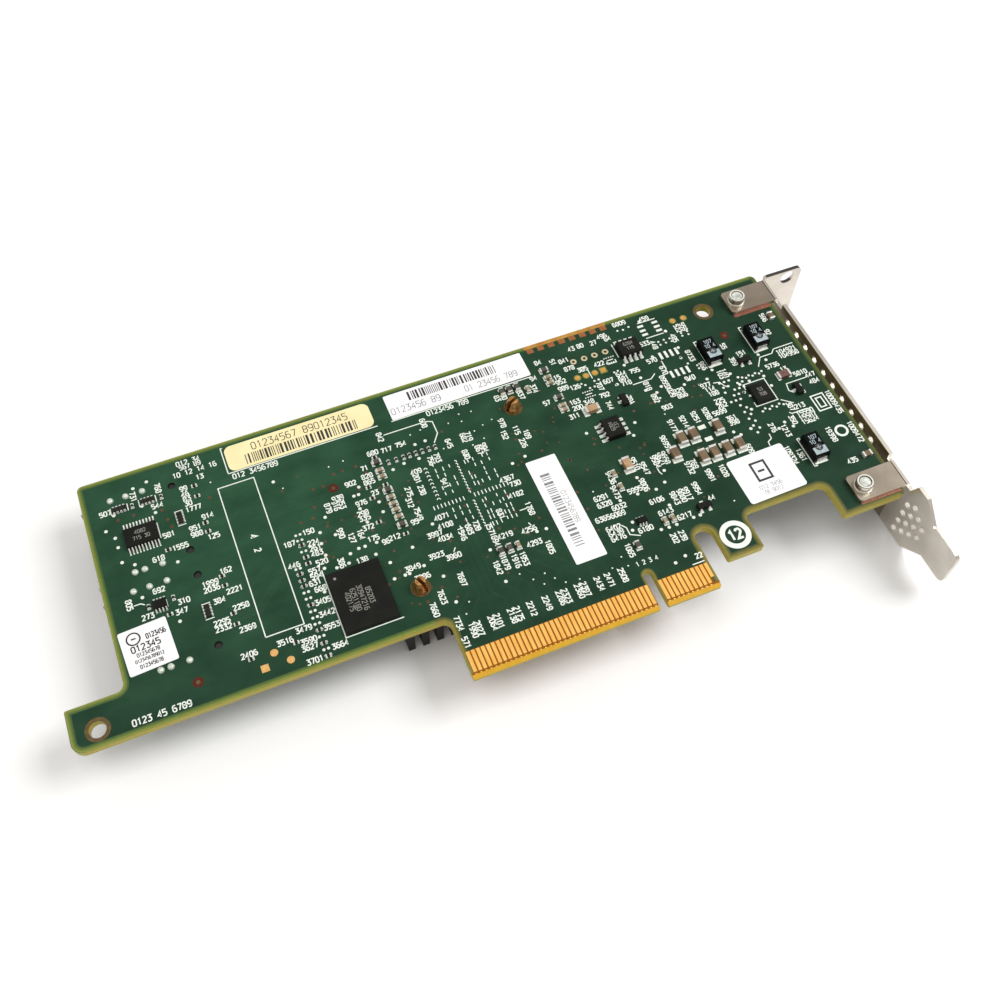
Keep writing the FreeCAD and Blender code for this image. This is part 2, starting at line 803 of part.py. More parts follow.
substrate_low_z = -board_thickness - substrate_height
die_low_z = substrate_low_z - die_height
save("controller_substrate", [block(controller_x, controller_y, substrate_side, substrate_side,
                                    substrate_low_z, -board_thickness)])
save("controller_die", [block(controller_x, controller_y, die_side, die_side, die_low_z, substrate_low_z)])
save("thermal_pad", [block(controller_x, controller_y, die_side, die_side, heatsink_top_z, die_low_z)])
save("heatsink", [heatsink()])
save("heatsink_push_pins", [push_pin(x, y, angle) for x, y, angle in push_pins])
save("push_pin_springs", [push_pin_spring(x, y) for x, y, angle in push_pins])

for port_name, port_y in zip(port_names, port_centre_y):
    save(port_name + "_port_shell", [port_shell(port_y)])
    save(port_name + "_port_insulator", [port_insulator(port_y)])
    save(port_name + "_port_contacts", port_contacts(port_y))
save("port_solder_joints", solder_joints())

# solder side, chips
driver_body, driver_leads = leaded_chip(*driver_package)
save("driver_chip", placed([driver_body], -89.2, 52.8, 0, solder_side))
save("driver_chip_leads", placed(driver_leads, -89.2, 52.8, 0, solder_side))

eight_places = ((20.9, 59.5, 0), (8.35, 41.2, 90))
bodies, leads = spread(eight_lead_chip, eight_places)
save("eight_lead_chips", bodies)
save("eight_lead_chip_leads", leads)

small_body, small_leads = leaded_chip(*small_logic_package)
tiny_body, tiny_leads = leaded_chip(*tiny_logic_package)
small_place = (-89.25, 36.6, 0)
tiny_place = (4.2, 18.8, 0)
logic_bodies = placed([small_body], *small_place, solder_side) + placed([tiny_body], *tiny_place, solder_side)
logic_leads = placed(small_leads, *small_place, solder_side) + placed(tiny_leads, *tiny_place, solder_side)
save("small_logic_chips", logic_bodies)
save("small_logic_chip_leads", logic_leads)

flash_memory = bevelled(package(flash_memory_package), flash_memory_package[2])
save("flash_memory_chip", placed([flash_memory], -52.95, 23.75, 0, solder_side))
regulator = bevelled(package(regulator_package), regulator_package[2])
save("regulator_chip", placed([regulator], 42.2, 37.9, 0, solder_side))

transistor_places = ((43.2, 47.2, 0), (50.2, 35.9, 90), (17.4, 17.2, 0), (13.9, 47.2, 90))
bodies, legs = spread(transistor, transistor_places)
save("transistors", bodies)
save("transistor_leads", legs)

tantalum_places = ((36.9, 51.7, 90), (48.45, 51.7, 90), (45.2, 20.9, 90))
bodies, straps = spread(lambda: strapped_chip(*tantalum_package), tantalum_places)
save("tantalum_capacitors", bodies)
save("tantalum_capacitor_straps", straps)

# solder side, two-terminal chips from the largest to the smallest: x, y and turn of each
large_brown = [(x, 33.5, 90) for x in (20.7, 23.5, 29.2)]
large_brown += [(x, 27.8, 90) for x in (22.8, 25.5, 28.5, 31.4)]
large_brown.append((17.7, 30.6, 90))
large_tan = ((6.4, 47.5, 0), (7.3, 31.9, 90))
brown_bodies, brown_ends = spread(lambda: chip_part(*large_capacitor), large_brown)
tan_bodies, tan_ends = spread(lambda: chip_part(*large_capacitor), large_tan)
save("large_brown_capacitors", brown_bodies)
save("large_tan_capacitors", tan_bodies)
save("large_capacitor_ends", brown_ends + tan_ends)

shunt_bodies, shunt_ends = spread(lambda: chip_part(*shunt_resistor), ((49.3, 40.5, 0),))
save("shunt_resistor", shunt_bodies)
save("shunt_resistor_ends", shunt_ends)

small = [(-40.55, y, 0) for y in (49.8, 48.2, 42.9, 41.2, 39.65, 37.95)]
small += [(1.1, y, 0) for y in (59.0, 57.4, 50.9, 49.7)]
small += [(3.8, 31.0, 90), (3.8, 27.6, 90), (8.6, 17.0, 90), (10.3, 17.0, 90), (-4.1, 57.6, 90)]
small.append((-20.9, 22.9, 90))
beads = [(-40.55, y, 0) for y in (51.9, 44.7, 35.95)]
beads += [(x, 59.0, 90) for x in (-9.6, -7.9, -6.1)]
beads += [(1.1, 61.1, 0), (1.2, 53.2, 0), (1.0, 14.0, 90), (-24.6, 22.9, 90), (-22.7, 22.9, 90)]
small_bodies, small_ends = spread(lambda: chip_part(*small_capacitor), small)
bead_bodies, bead_ends = spread(lambda: chip_part(*ferrite_bead), beads)
save("small_capacitors", small_bodies)
save("ferrite_beads", bead_bodies)
save("small_part_ends", small_ends + bead_ends)

tiny = [(-76.8, y, 0) for y in (60.5, 57.9, 51.1, 49.0, 38.2, 36.0, 29.6, 27.2)]
tiny += [(-62.7, y, 0) for y in (32.9, 31.4, 30.1, 25.8, 20.2, 17.3, 14.5)]
tiny += [(-60.5, y, 0) for y in (39.0, 36.1, 34.6)]
tiny += [(-83.6, 60.4, 90), (-89.5, 60.4, 90), (-85.1, 47.8, 0), (-88.0, 33.9, 0), (-91.4, 36.9, 90)]
tiny += [(-86.6, 37.1, 90), (-76.2, 19.2, 0), (-67.5, 19.3, 0)]
tiny += [(-40.55, y, 0) for y in (53.3, 46.2, 33.8)]
tiny += [(-44.0, 46.8, 0), (-44.1, 44.1, 0), (-44.7, 38.3, 0)]
tiny += [(x, 51.1, 90) for x in (-38.2, -36.5, -34.9, -33.6, -32.2, -30.8, -29.3, -27.9)]
bodies, ends = spread(lambda: chip_part(*tiny_resistor), tiny)
save("tiny_resistors", bodies)
save("tiny_resistor_ends", ends)

array_places = ((-92.1, 60.6, 0), (-86.4, 60.5, 0), (-81.2, 54.1, 90), (-81.2, 31.9, 90))
bodies, ends = spread(resistor_array, array_places)
save("resistor_arrays", bodies)
save("resistor_array_ends", ends)

# labels: the sides, the corner radius and the turn of each
save("address_label", [label(-69.1, -37.6, 61.0, 67.4, 1.5, 0.2)])
save("assembly_label", [label(-33.9, -1.9, 61.0, 67.6, 0.3, 0.5)])
save("tracking_label", [label(-12.05, -5.4, 14.6, 40.3, 0.3, 0.3)])
save("square_label", [label(26.6, 39.7, 13.95, 24.95, 0.6, 1.0)])
save("corner_label", [label(rear_edge_x + 1.2, rear_edge_x + 10.5, 24.2, 33.7, 0.4, 3.2)])

# component side
inductor = bevelled(package(inductor_package), inductor_package[2])
bodies, no_metal = spread(lambda: ([inductor], []), ((28.0, 31.0, 0), (28.0, 49.0, 0)), component_side)
save("power_inductors", bodies)
bodies, leads = spread(eight_lead_chip, ((18.0, 31.0, 90), (18.0, 49.0, 90)), component_side)
save("power_transistors", bodies)
save("power_transistor_leads", leads)
polymer_places = ((38.0, 31.0, 90), (38.0, 49.0, 90), (46.0, 40.0, 90))
bodies, straps = spread(lambda: strapped_chip(*polymer_package), polymer_places, component_side)
save("polymer_capacitors", bodies)
save("polymer_capacitor_straps", straps)
save("clock_crystal", placed([package(crystal_package)], -60.0, 45.0, 90, component_side))
save("backup_memory_chip", placed([package(backup_memory_package)], -64.0, 30.0, 90, component_side))
bodies, ends = spread(lambda: chip_part(*activity_light), ((-55.0, 64.0, 0),), component_side)
save("activity_light", bodies)
save("activity_light_ends", ends)
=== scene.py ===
import json
import math
import random

import bmesh
import bpy
from mathutils import Matrix, Vector


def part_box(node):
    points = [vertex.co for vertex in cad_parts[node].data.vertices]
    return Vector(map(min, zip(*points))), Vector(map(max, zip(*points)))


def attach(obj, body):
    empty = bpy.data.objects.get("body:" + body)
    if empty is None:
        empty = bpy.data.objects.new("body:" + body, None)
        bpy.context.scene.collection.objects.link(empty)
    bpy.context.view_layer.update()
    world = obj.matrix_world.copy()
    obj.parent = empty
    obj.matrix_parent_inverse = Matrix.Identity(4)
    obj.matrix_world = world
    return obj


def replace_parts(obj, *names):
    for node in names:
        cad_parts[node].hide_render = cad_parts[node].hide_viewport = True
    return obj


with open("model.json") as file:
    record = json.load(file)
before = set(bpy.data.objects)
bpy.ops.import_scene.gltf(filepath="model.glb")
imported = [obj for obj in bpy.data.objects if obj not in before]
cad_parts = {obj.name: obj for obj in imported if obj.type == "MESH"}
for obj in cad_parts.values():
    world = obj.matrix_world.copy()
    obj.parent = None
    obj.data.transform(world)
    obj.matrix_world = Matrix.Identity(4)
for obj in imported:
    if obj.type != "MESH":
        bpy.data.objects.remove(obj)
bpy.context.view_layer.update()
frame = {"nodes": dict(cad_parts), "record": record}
nodes = frame["nodes"]
random.seed(11)
mm = 0.001
patchEnds = (0.3, 0.7)  # where a noise turns from one tone to the other
bumpStrength = 0.5


# shader helpers

class Value:  # a socket that can stand in a sum
    def __init__(self, finish, socket):
        self.finish = finish
        self.socket = socket

    def math(self, operation, first, second):
        return self.finish.node("ShaderNodeMath", {"operation": operation}, {0: first, 1: second})

    def __add__(self, other):
        return self.math("ADD", self, other)

    def __sub__(self, other):
        return self.math("SUBTRACT", self, other)

    def __rsub__(self, other):
        return self.math("SUBTRACT", other, self)

    def __mul__(self, other):
        return self.math("MULTIPLY", self, other)

    def __gt__(self, other):
        return self.math("GREATER_THAN", self, other)

    def __lt__(self, other):
        return self.math("LESS_THAN", self, other)

    def __abs__(self):
        return self.math("ABSOLUTE", self, 0)

    __radd__ = __add__
    __rmul__ = __mul__


class Finish:  # one material and its nodes
    def __init__(self, name):
        self.material = bpy.data.materials.new(name)
        self.material.use_nodes = True
        self.tree = self.material.node_tree
        self.tree.nodes.clear()
        place = self.node("ShaderNodeTexCoord", {}, {}, "Object")
        self.place = self.node("ShaderNodeVectorMath", {"operation": "SCALE"}, {0: place, "Scale": 1 / mm})

    def node(self, kind, settings, sockets, output=0):
        made = self.tree.nodes.new(kind)
        for key, value in settings.items():
            if key == "stops":
                for element, stop in zip(made.color_ramp.elements, value):
                    element.position, element.color = stop
            else:
                setattr(made, key, value)
        for key, value in sockets.items():
            if isinstance(value, Value):
                self.tree.links.new(value.socket, made.inputs[key])
            else:
                made.inputs[key].default_value = value
        return Value(self, made.outputs[output]) if made.outputs else None

    def blend(self, share, first, second):  # the first colour at 0, the second at 1
        return self.node("ShaderNodeMix", {"data_type": "RGBA"}, {0: share, 6: first, 7: second}, 2)

    def noise(self, size, detail=2.0, stretch=(1, 1, 1)):  # size of one patch in mm
        place = self.node("ShaderNodeVectorMath", {"operation": "MULTIPLY"}, {0: self.place, 1: stretch})
        return self.node("ShaderNodeTexNoise", {}, {"Vector": place, "Scale": 1 / size, "Detail": detail})

    def axis(self, name):
        return self.node("ShaderNodeSeparateXYZ", {}, {"Vector": self.place}, name)

    def faceTurn(self, name):  # how far a face looks along an axis
        normal = self.node("ShaderNodeNewGeometry", {}, {}, "Normal")
        return abs(self.node("ShaderNodeSeparateXYZ", {}, {"Vector": normal}, name))

    def ramp(self, value, low, high):  # 0 below low, 1 above high
        stops = ((low, (0, 0, 0, 1)), (high, (1, 1, 1, 1)))
        return self.node("ShaderNodeValToRGB", {"stops": stops}, {"Fac": value})

    def patches(self, value):
        return self.ramp(value, *patchEnds)

    def twoTone(self, share, tones):
        return self.blend(share, tone(*tones[0]), tone(*tones[1]))

    def surface(self, color, grain, look):  # the grain sets the gloss and the bumps
        smooth, rough = look["rough"]
        bump = {"Height": grain, "Strength": bumpStrength, "Distance": look.get("depth", 0.01) * mm}
        sockets = {
            "Base Color": color, "Roughness": grain * (rough - smooth) + smooth,
            "Metallic": look.get("metallic", 0.0), "Specular IOR Level": look.get("specular", 0.5),
            "Normal": self.node("ShaderNodeBump", {}, bump),
        }
        skin = self.node("ShaderNodeBsdfPrincipled", {}, sockets)
        self.node("ShaderNodeOutputMaterial", {}, {"Surface": skin})
        return self.material


def tone(red, green, blue):  # a display colour from 0 to 255 as a linear one
    shares = [value / 255 for value in (red, green, blue)]
    linear = [share / 12.92 if share < 0.04 else ((share + 0.055) / 1.055) ** 2.4 for share in shares]
    return (*linear, 1)


def speckled(name, look):  # a finish in two tones, with patches, grain and a smooth and a rough end
    finish = Finish(name)
    stretch = look.get("stretch", (1, 1, 1))
    color = finish.twoTone(finish.patches(finish.noise(look["patch"], 3.0, stretch)), look["tones"])
    return finish.surface(color, finish.noise(look["grain"], 2.0, stretch), look)


# finishes

looks = {
    "copper": {"tones": ((128, 78, 58), (158, 102, 80)), "patch": 1.5, "grain": 0.2, "rough": (0.35, 0.5),
               "metallic": 0.3, "depth": 0.02},
    "screw_steel": {"tones": ((176, 180, 170), (250, 252, 244)), "patch": 0.9, "grain": 0.15,
                    "rough": (0.15, 0.35), "metallic": 0.35, "depth": 0.02},
    "substrate": {"tones": ((24, 52, 32), (34, 66, 42)), "patch": 4.0, "grain": 0.3, "rough": (0.4, 0.55)},
    "silicon": {"tones": ((48, 48, 56), (66, 64, 72)), "patch": 5.0, "grain": 0.5, "rough": (0.08, 0.18),
                "depth": 0.002},
    "thermal_pad": {"tones": ((150, 152, 156), (172, 174, 176)), "patch": 1.0, "grain": 0.2,
                    "rough": (0.6, 0.8), "depth": 0.02},
    "heatsink_black": {"tones": ((9, 9, 9), (17, 16, 16)), "patch": 6.0, "grain": 0.12, "rough": (0.4, 0.6),
                       "specular": 0.3},
    "brass": {"tones": ((166, 104, 48), (246, 190, 124)), "patch": 0.9, "grain": 0.2, "rough": (0.18, 0.34),
              "metallic": 0.85, "depth": 0.02},
    # painted highlight: bright steel for the rings on the collars
    "highlight_steel": {"tones": ((224, 224, 214), (250, 250, 242)), "patch": 0.6, "grain": 0.12,
                     "rough": (0.2, 0.35), "metallic": 0.3},
    "spring_steel": {"tones": ((140, 140, 140), (176, 176, 174)), "patch": 1.0, "grain": 0.1,
                     "rough": (0.2, 0.3), "metallic": 1.0},
    "port_metal": {"tones": ((188, 188, 184), (214, 214, 208)), "patch": 5.0, "grain": 0.15,
                   "rough": (0.22, 0.36), "metallic": 1.0, "stretch": (1, 6, 6)},
    "port_plastic": {"tones": ((20, 20, 21), (32, 32, 33)), "patch": 2.0, "grain": 0.15,
                     "rough": (0.45, 0.6)},
    "solder": {"tones": ((184, 194, 178), (232, 240, 228)), "patch": 0.5, "grain": 0.18,
               "rough": (0.2, 0.42), "metallic": 0.3, "depth": 0.03},
    "bright_pad": {"tones": ((216, 222, 210), (250, 254, 246)), "patch": 0.5, "grain": 0.15,
                   "rough": (0.25, 0.42), "metallic": 0.1, "depth": 0.02},
    "chip_black": {"tones": ((20, 21, 18), (29, 30, 26)), "patch": 3.0, "grain": 0.09,
                   "rough": (0.42, 0.62), "specular": 0.12, "depth": 0.012},
    "tinned_leads": {"tones": ((206, 206, 200), (246, 246, 240)), "patch": 0.7, "grain": 0.12,
                     "rough": (0.22, 0.4), "metallic": 0.5},
    "tantalum_case": {"tones": ((8, 10, 10), (15, 19, 18)), "patch": 2.0, "grain": 0.1,
                      "rough": (0.3, 0.45), "specular": 0.06},
    "brown_ceramic": {"tones": ((98, 80, 56), (126, 104, 76)), "patch": 1.6, "grain": 0.12,
                      "rough": (0.35, 0.5), "stretch": (1, 0.5, 1)},
    "tan_ceramic": {"tones": ((160, 128, 94), (190, 156, 118)), "patch": 1.2, "grain": 0.12,
                    "rough": (0.35, 0.5)},
    "ferrite": {"tones": ((58, 56, 48), (82, 80, 68)), "patch": 0.8, "grain": 0.1, "rough": (0.4, 0.6)},
    "pink_ceramic": {"tones": ((94, 62, 54), (118, 84, 72)), "patch": 0.8, "grain": 0.1,
                     "rough": (0.35, 0.5)},
    "resistor_black": {"tones": ((25, 30, 22), (42, 45, 35)), "patch": 0.6, "grain": 0.1,
                       "rough": (0.25, 0.4), "specular": 0.2, "depth": 0.005},
    "small_ceramic": {"tones": ((128, 116, 90), (164, 152, 124)), "patch": 0.5, "grain": 0.12,
                      "rough": (0.35, 0.5)},
    "inductor_grey": {"tones": ((62, 62, 66), (84, 84, 88)), "patch": 0.5, "grain": 0.08,
                      "rough": (0.6, 0.8), "depth": 0.04},
    "crystal_can": {"tones": ((190, 188, 182), (212, 210, 204)), "patch": 1.5, "grain": 0.1,
                    "rough": (0.2, 0.35), "metallic": 1.0},
    "light_lens": {"tones": ((206, 220, 186), (232, 240, 214)), "patch": 0.4, "grain": 0.1,
                   "rough": (0.1, 0.25), "depth": 0.005},
    "white_ink": {"tones": ((226, 234, 222), (246, 250, 242)), "patch": 0.8, "grain": 0.15,
                  "rough": (0.5, 0.7)},
    "grey_mark": {"tones": ((120, 120, 112), (146, 146, 138)), "patch": 0.8, "grain": 0.1,
                  "rough": (0.5, 0.7), "depth": 0.005},
    "black_ink": {"tones": ((34, 32, 32), (58, 56, 56)), "patch": 0.5, "grain": 0.12, "rough": (0.5, 0.7),
                  "depth": 0.005},
    "grey_ink": {"tones": ((112, 112, 114), (148, 148, 150)), "patch": 0.5, "grain": 0.12,
                 "rough": (0.5, 0.7), "depth": 0.005},
    "blue_band": {"tones": ((150, 166, 172), (178, 192, 196)), "patch": 0.8, "grain": 0.1,
                  "rough": (0.4, 0.55), "depth": 0.005},
    "gold_pad": {"tones": ((222, 164, 92), (246, 200, 130)), "patch": 0.6, "grain": 0.12,
                 "rough": (0.3, 0.45), "metallic": 0.6},
    "dull_gold": {"tones": ((188, 134, 54), (224, 176, 98)), "patch": 0.6, "grain": 0.12,
                  "rough": (0.3, 0.45), "metallic": 0.3},
    "pale_ring": {"tones": ((186, 160, 128), (232, 214, 184)), "patch": 0.5, "grain": 0.12,
                  "rough": (0.3, 0.45), "metallic": 0.2},
    "strip_copper": {"tones": ((136, 78, 36), (170, 106, 58)), "patch": 0.6, "grain": 0.12,
                     "rough": (0.35, 0.5), "metallic": 0.2},
    "ring_copper": {"tones": ((78, 60, 26), (106, 84, 42)), "patch": 0.9, "grain": 0.15,
                    "rough": (0.35, 0.55), "metallic": 0.2, "depth": 0.02},
    "red_mark": {"tones": ((70, 26, 18), (94, 40, 28)), "patch": 0.5, "grain": 0.15, "rough": (0.3, 0.45),
                 "specular": 0.2},
    "via_mark": {"tones": ((84, 60, 42), (104, 74, 54)), "patch": 1.5, "grain": 0.15, "rough": (0.3, 0.45),
                 "specular": 0.2},
    "orange_edge": {"tones": ((166, 112, 34), (194, 146, 62)), "patch": 2.0, "grain": 0.2,
                    "rough": (0.35, 0.5)},
}
finishes = {name: speckled(name, look) for name, look in looks.items()}

# bare laminate between the contacts, painted shade inside the port holes, and where the painted sheen leaves
# the mask lightest
tongueSize = {"top": 5.7, "right": 11.3, "left": -38.3, "bevelTop": 1.25, "bevel": 0.85}
portHoles = {"left": -95.0, "right": -79.5, "low": 22.0, "high": 64.0}
# painted sheen: where the mask is painted lightest and how far that reaches; share is how much painted shade
# darkens it elsewhere
maskSheen = {"middle": -70.0, "reach": 110.0, "low": 5.0, "high": 45.0, "share": 0.42}
boardLook = {"mask": ((32, 67, 46), (46, 85, 61)), "trace": ((37, 73, 52), (51, 91, 66)),
             "glass": ((150, 142, 56), (186, 172, 80)), "holeShade": (46, 36, 18),
             "between": ((126, 74, 6), (156, 94, 14)), "bevel": ((196, 146, 36), (220, 172, 56)),
             "rough": (0.3, 0.46), "specular": 0.13}


def onTongue(finish):
    across, up = finish.axis("X"), finish.axis("Y")
    return (up < tongueSize["top"]) * (across < tongueSize["right"]) * (across > tongueSize["left"])


def inPortHoles(finish):
    across, up = finish.axis("X"), finish.axis("Y")
    inside = (across > portHoles["left"]) * (across < portHoles["right"])
    return inside * (up > portHoles["low"]) * (up < portHoles["high"])


def paintSheen(finish, color):  # painted sheen and shade: the mask is lightest in the middle and darker towards the bracket and towards the contacts
    near = 1 - finish.ramp(abs(finish.axis("X") - maskSheen["middle"]) * (1 / maskSheen["reach"]), 0.0, 1.0)
    scale = 1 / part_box("circuit_board")[1].y * mm
    near = near * finish.ramp(finish.axis("Y") * scale, maskSheen["low"] * scale, maskSheen["high"] * scale)
    return finish.blend(maskSheen["share"] - near * maskSheen["share"], color, tone(0, 0, 0))


def boardFinish(name, tones):
    finish = Finish(name)
    bands = finish.patches(finish.noise(9.0, 4.0, (1, 1.6, 1)))
    fine = finish.noise(0.7, 2.0)
    cloud = finish.noise(1.4, 3.0)
    mask = paintSheen(finish, finish.twoTone(bands, tones))
    layers = finish.noise(0.5, 2.0, (0.2, 0.2, 6))  # the cloth in the cut edge
    glass = finish.twoTone(layers, boardLook["glass"])
    # painted shade: the cut edge inside the port holes is painted dark brown
    glass = finish.blend(inPortHoles(finish), glass, tone(*boardLook["holeShade"]))
    between = finish.twoTone(cloud, boardLook["between"])
    bevel = finish.twoTone(cloud, boardLook["bevel"])
    color = finish.blend(onTongue(finish), mask, between)
    color = finish.blend(finish.axis("Y") < tongueSize["bevelTop"], color, between)
    color = finish.blend(finish.axis("Y") < tongueSize["bevel"], color, bevel)
    color = finish.blend(finish.faceTurn("Z") < 0.5, color, glass)
    return finish.surface(color, fine, boardLook)


rimLook = {"goldTop": 16.0, "goldLeft": -42.0, "bracketShadeLeft": 56.2, "bracketShadeShare": 0.5, "dark": (30, 52, 32),
           "plain": ((-10, -9, -8), (10, 9, 8)), "gold": ((-6, -24, -12), (14, -6, 4)), "rough": (0.3, 0.46),
           "depth": 0.02, "specular": 0.3}
rimBands = {  # finish, its tone and where its band starts and ends, in mm from the edge
    "rim": ((130, 138, 56), 0.02, 0.3), "rim_second": ((110, 124, 52), 0.3, 0.54),
    "rim_third": ((90, 110, 46), 0.54, 0.8), "rim_fourth": ((64, 90, 42), 0.8, 1.08),
}


def rimFinish(name, color):  # bare edge, browner round the contacts, with painted shade beside the bracket
    finish = Finish(name)
    across = finish.axis("X")
    grain = finish.noise(0.8, 3.0)
    plain, gold = [finish.twoTone(grain, [[a + b for a, b in zip(color, shift)] for shift in rimLook[kind]])
                   for kind in ("plain", "gold")]
    rim = finish.blend((finish.axis("Y") < rimLook["goldTop"]) * (across > rimLook["goldLeft"]), plain, gold)
    # painted shade: the rim is blended towards a dark green beside the bracket
    rim = finish.blend((across > rimLook["bracketShadeLeft"]) * rimLook["bracketShadeShare"], rim, tone(*rimLook["dark"]))
    return finish.surface(rim, grain, rimLook)


goldLook = {"tones": ((248, 180, 80), (254, 200, 108)), "rough": (0.25, 0.45), "metallic": 0.35}


def goldFinish():  # worn along the way the contacts slide
    finish = Finish("gold")
    wear = finish.noise(0.5, 3.0, (1, 0.15, 1))
    color = finish.twoTone(finish.patches(wear), goldLook["tones"])
    return finish.surface(color, wear, goldLook)


# painted shade on the two tabs over the board and along their bends, painted shade on the foot's cut edge,
# and a painted brown reflection of the board on the inner face
steelLook = {"plate": ((204, 197, 187), (226, 219, 209)), "shadedTab": ((154, 143, 129), (178, 166, 150)),
             "bendShadeLine": (104, 94, 84), "footEdgeShade": (92, 88, 86), "inner": (116, 92, 50),
             "tabEnd": 58.2, "bend": 0.28, "footLeft": 59.4, "footStart": 64.5, "innerEnd": 58.9,
             "innerLow": 8.0, "innerHigh": 62.0, "innerReflectionShare": 0.6, "rough": (0.26, 0.41), "metallic": 1.0}


def steelFinish():
    finish = Finish("bracket_steel")
    brushed = finish.noise(0.25, 2.0, (1, 0.08, 0.08))
    share = finish.patches(finish.noise(7.0, 3.0))
    across, up, flat = finish.axis("X"), finish.axis("Y"), finish.faceTurn("Z")
    # painted shade: the up faces of the tabs get darker tones than the plate
    onTab = (across < steelLook["tabEnd"]) * (flat > 0.5)
    plate, shadedTab = finish.twoTone(share, steelLook["plate"]), finish.twoTone(share, steelLook["shadedTab"])
    color = finish.blend(onTab, plate, shadedTab)
    # painted shade: a dark line along the start of each tab's bend
    bend = (across > steelLook["tabEnd"] - steelLook["bend"]) * onTab
    color = finish.blend(bend, color, tone(*steelLook["bendShadeLine"]))
    # painted shade: the foot's cut edge facing up is painted darker
    footEdgeShade = (across > steelLook["footLeft"]) * (up > steelLook["footStart"]) * (flat > 0.7)
    color = finish.blend(footEdgeShade, color, tone(*steelLook["footEdgeShade"]))
    # painted reflection: the inner face beside the board is blended towards the board's brown
    inner = (across < steelLook["innerEnd"]) * (finish.faceTurn("X") > 0.7)
    inner = inner * (up > steelLook["innerLow"]) * (up < steelLook["innerHigh"]) * steelLook["innerReflectionShare"]
    color = finish.blend(inner, color, tone(*steelLook["inner"]))
    return finish.surface(color, brushed, steelLook)


paperLook = {"cream_paper": ((240, 226, 170), (250, 238, 186)),
             "white_paper": ((240, 240, 242), (252, 252, 252)), "rough": (0.4, 0.55)}


def paperFinish(name):
    finish = Finish(name)
    color = finish.twoTone(finish.patches(finish.noise(6.0, 3.0)), paperLook[name])
    return finish.surface(color, finish.noise(0.35, 4.0), paperLook)


finishes["board"] = boardFinish("board", boardLook["mask"])
finishes["trace"] = boardFinish("trace", boardLook["trace"])
finishes["gold"] = goldFinish()
finishes["bracket_steel"] = steelFinish()
for name, (color, start, end) in rimBands.items():
    finishes[name] = rimFinish(name, color)
for name in ("cream_paper", "white_paper"):
    finishes[name] = paperFinish(name)

otherFinishes = {"small_capacitors": "small_ceramic"}
for part in frame["record"]["subparts"]:
    mesh = nodes[part["node"]].data
    mesh.materials.clear()
    mesh.materials.append(finishes[otherFinishes.get(part["node"], part["material_slot"])])
print("finishes:", len(finishes))


# mesh helpers

def addPiece(name, mesh, finish, smooth=False):
    data = bpy.data.meshes.new(name)
    mesh.to_mesh(data)
    mesh.free()
    data.materials.append(finishes[finish])
    if smooth:
        data.polygons.foreach_set("use_smooth", [True] * len(data.polygons))
    piece = bpy.data.objects.new(name, data)
    bpy.context.scene.collection.objects.link(piece)
    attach(piece, "root")
    return piece


glyphs = {  # strokes on a grid two wide and four high
    "0": (((0, 0.6), (0, 3.4), (0.5, 4), (1.5, 4), (2, 3.4), (2, 0.6), (1.5, 0), (0.5, 0), (0, 0.6)),),
    "1": (((0.3, 3.2), (1.1, 4), (1.1, 0)),),
    "2": (((0, 3.3), (0.5, 4), (1.5, 4), (2, 3.3), (2, 2.6), (0, 0), (2, 0)),),
    "3": (((0, 4), (2, 4), (1, 2.4), (1.6, 2.3), (2, 1.7), (2, 0.6), (1.5, 0), (0.4, 0), (0, 0.5)),),
    "4": (((1.5, 0), (1.5, 4), (0, 1.2), (2, 1.2)),),
    "5": (((2, 4), (0, 4), (0, 2.3), (1.5, 2.3), (2, 1.8), (2, 0.6), (1.5, 0), (0, 0)),),
    "6": (((1.8, 4), (0.6, 4), (0, 3.2), (0, 0.6), (0.5, 0), (1.5, 0), (2, 0.6), (2, 1.7), (1.5, 2.3),
           (0, 2.3)),),
    "7": (((0, 4), (2, 4), (0.8, 0)),),
    "8": (((0.5, 2.1), (0, 2.7), (0, 3.4), (0.5, 4), (1.5, 4), (2, 3.4), (2, 2.7), (1.5, 2.1), (0.5, 2.1),
           (0, 1.5), (0, 0.6), (0.5, 0), (1.5, 0), (2, 0.6), (2, 1.5), (1.5, 2.1)),),
    "9": (((0.2, 0), (1.4, 0), (2, 0.8), (2, 3.4), (1.5, 4), (0.5, 4), (0, 3.4), (0, 2.3), (0.5, 1.7),
           (2, 1.7)),),
    "+": (((0, 2), (2, 2)), ((1, 3), (1, 1))),
    " ": (),
}


glyphSize = {"wide": 2, "high": 4, "step": 2.9}


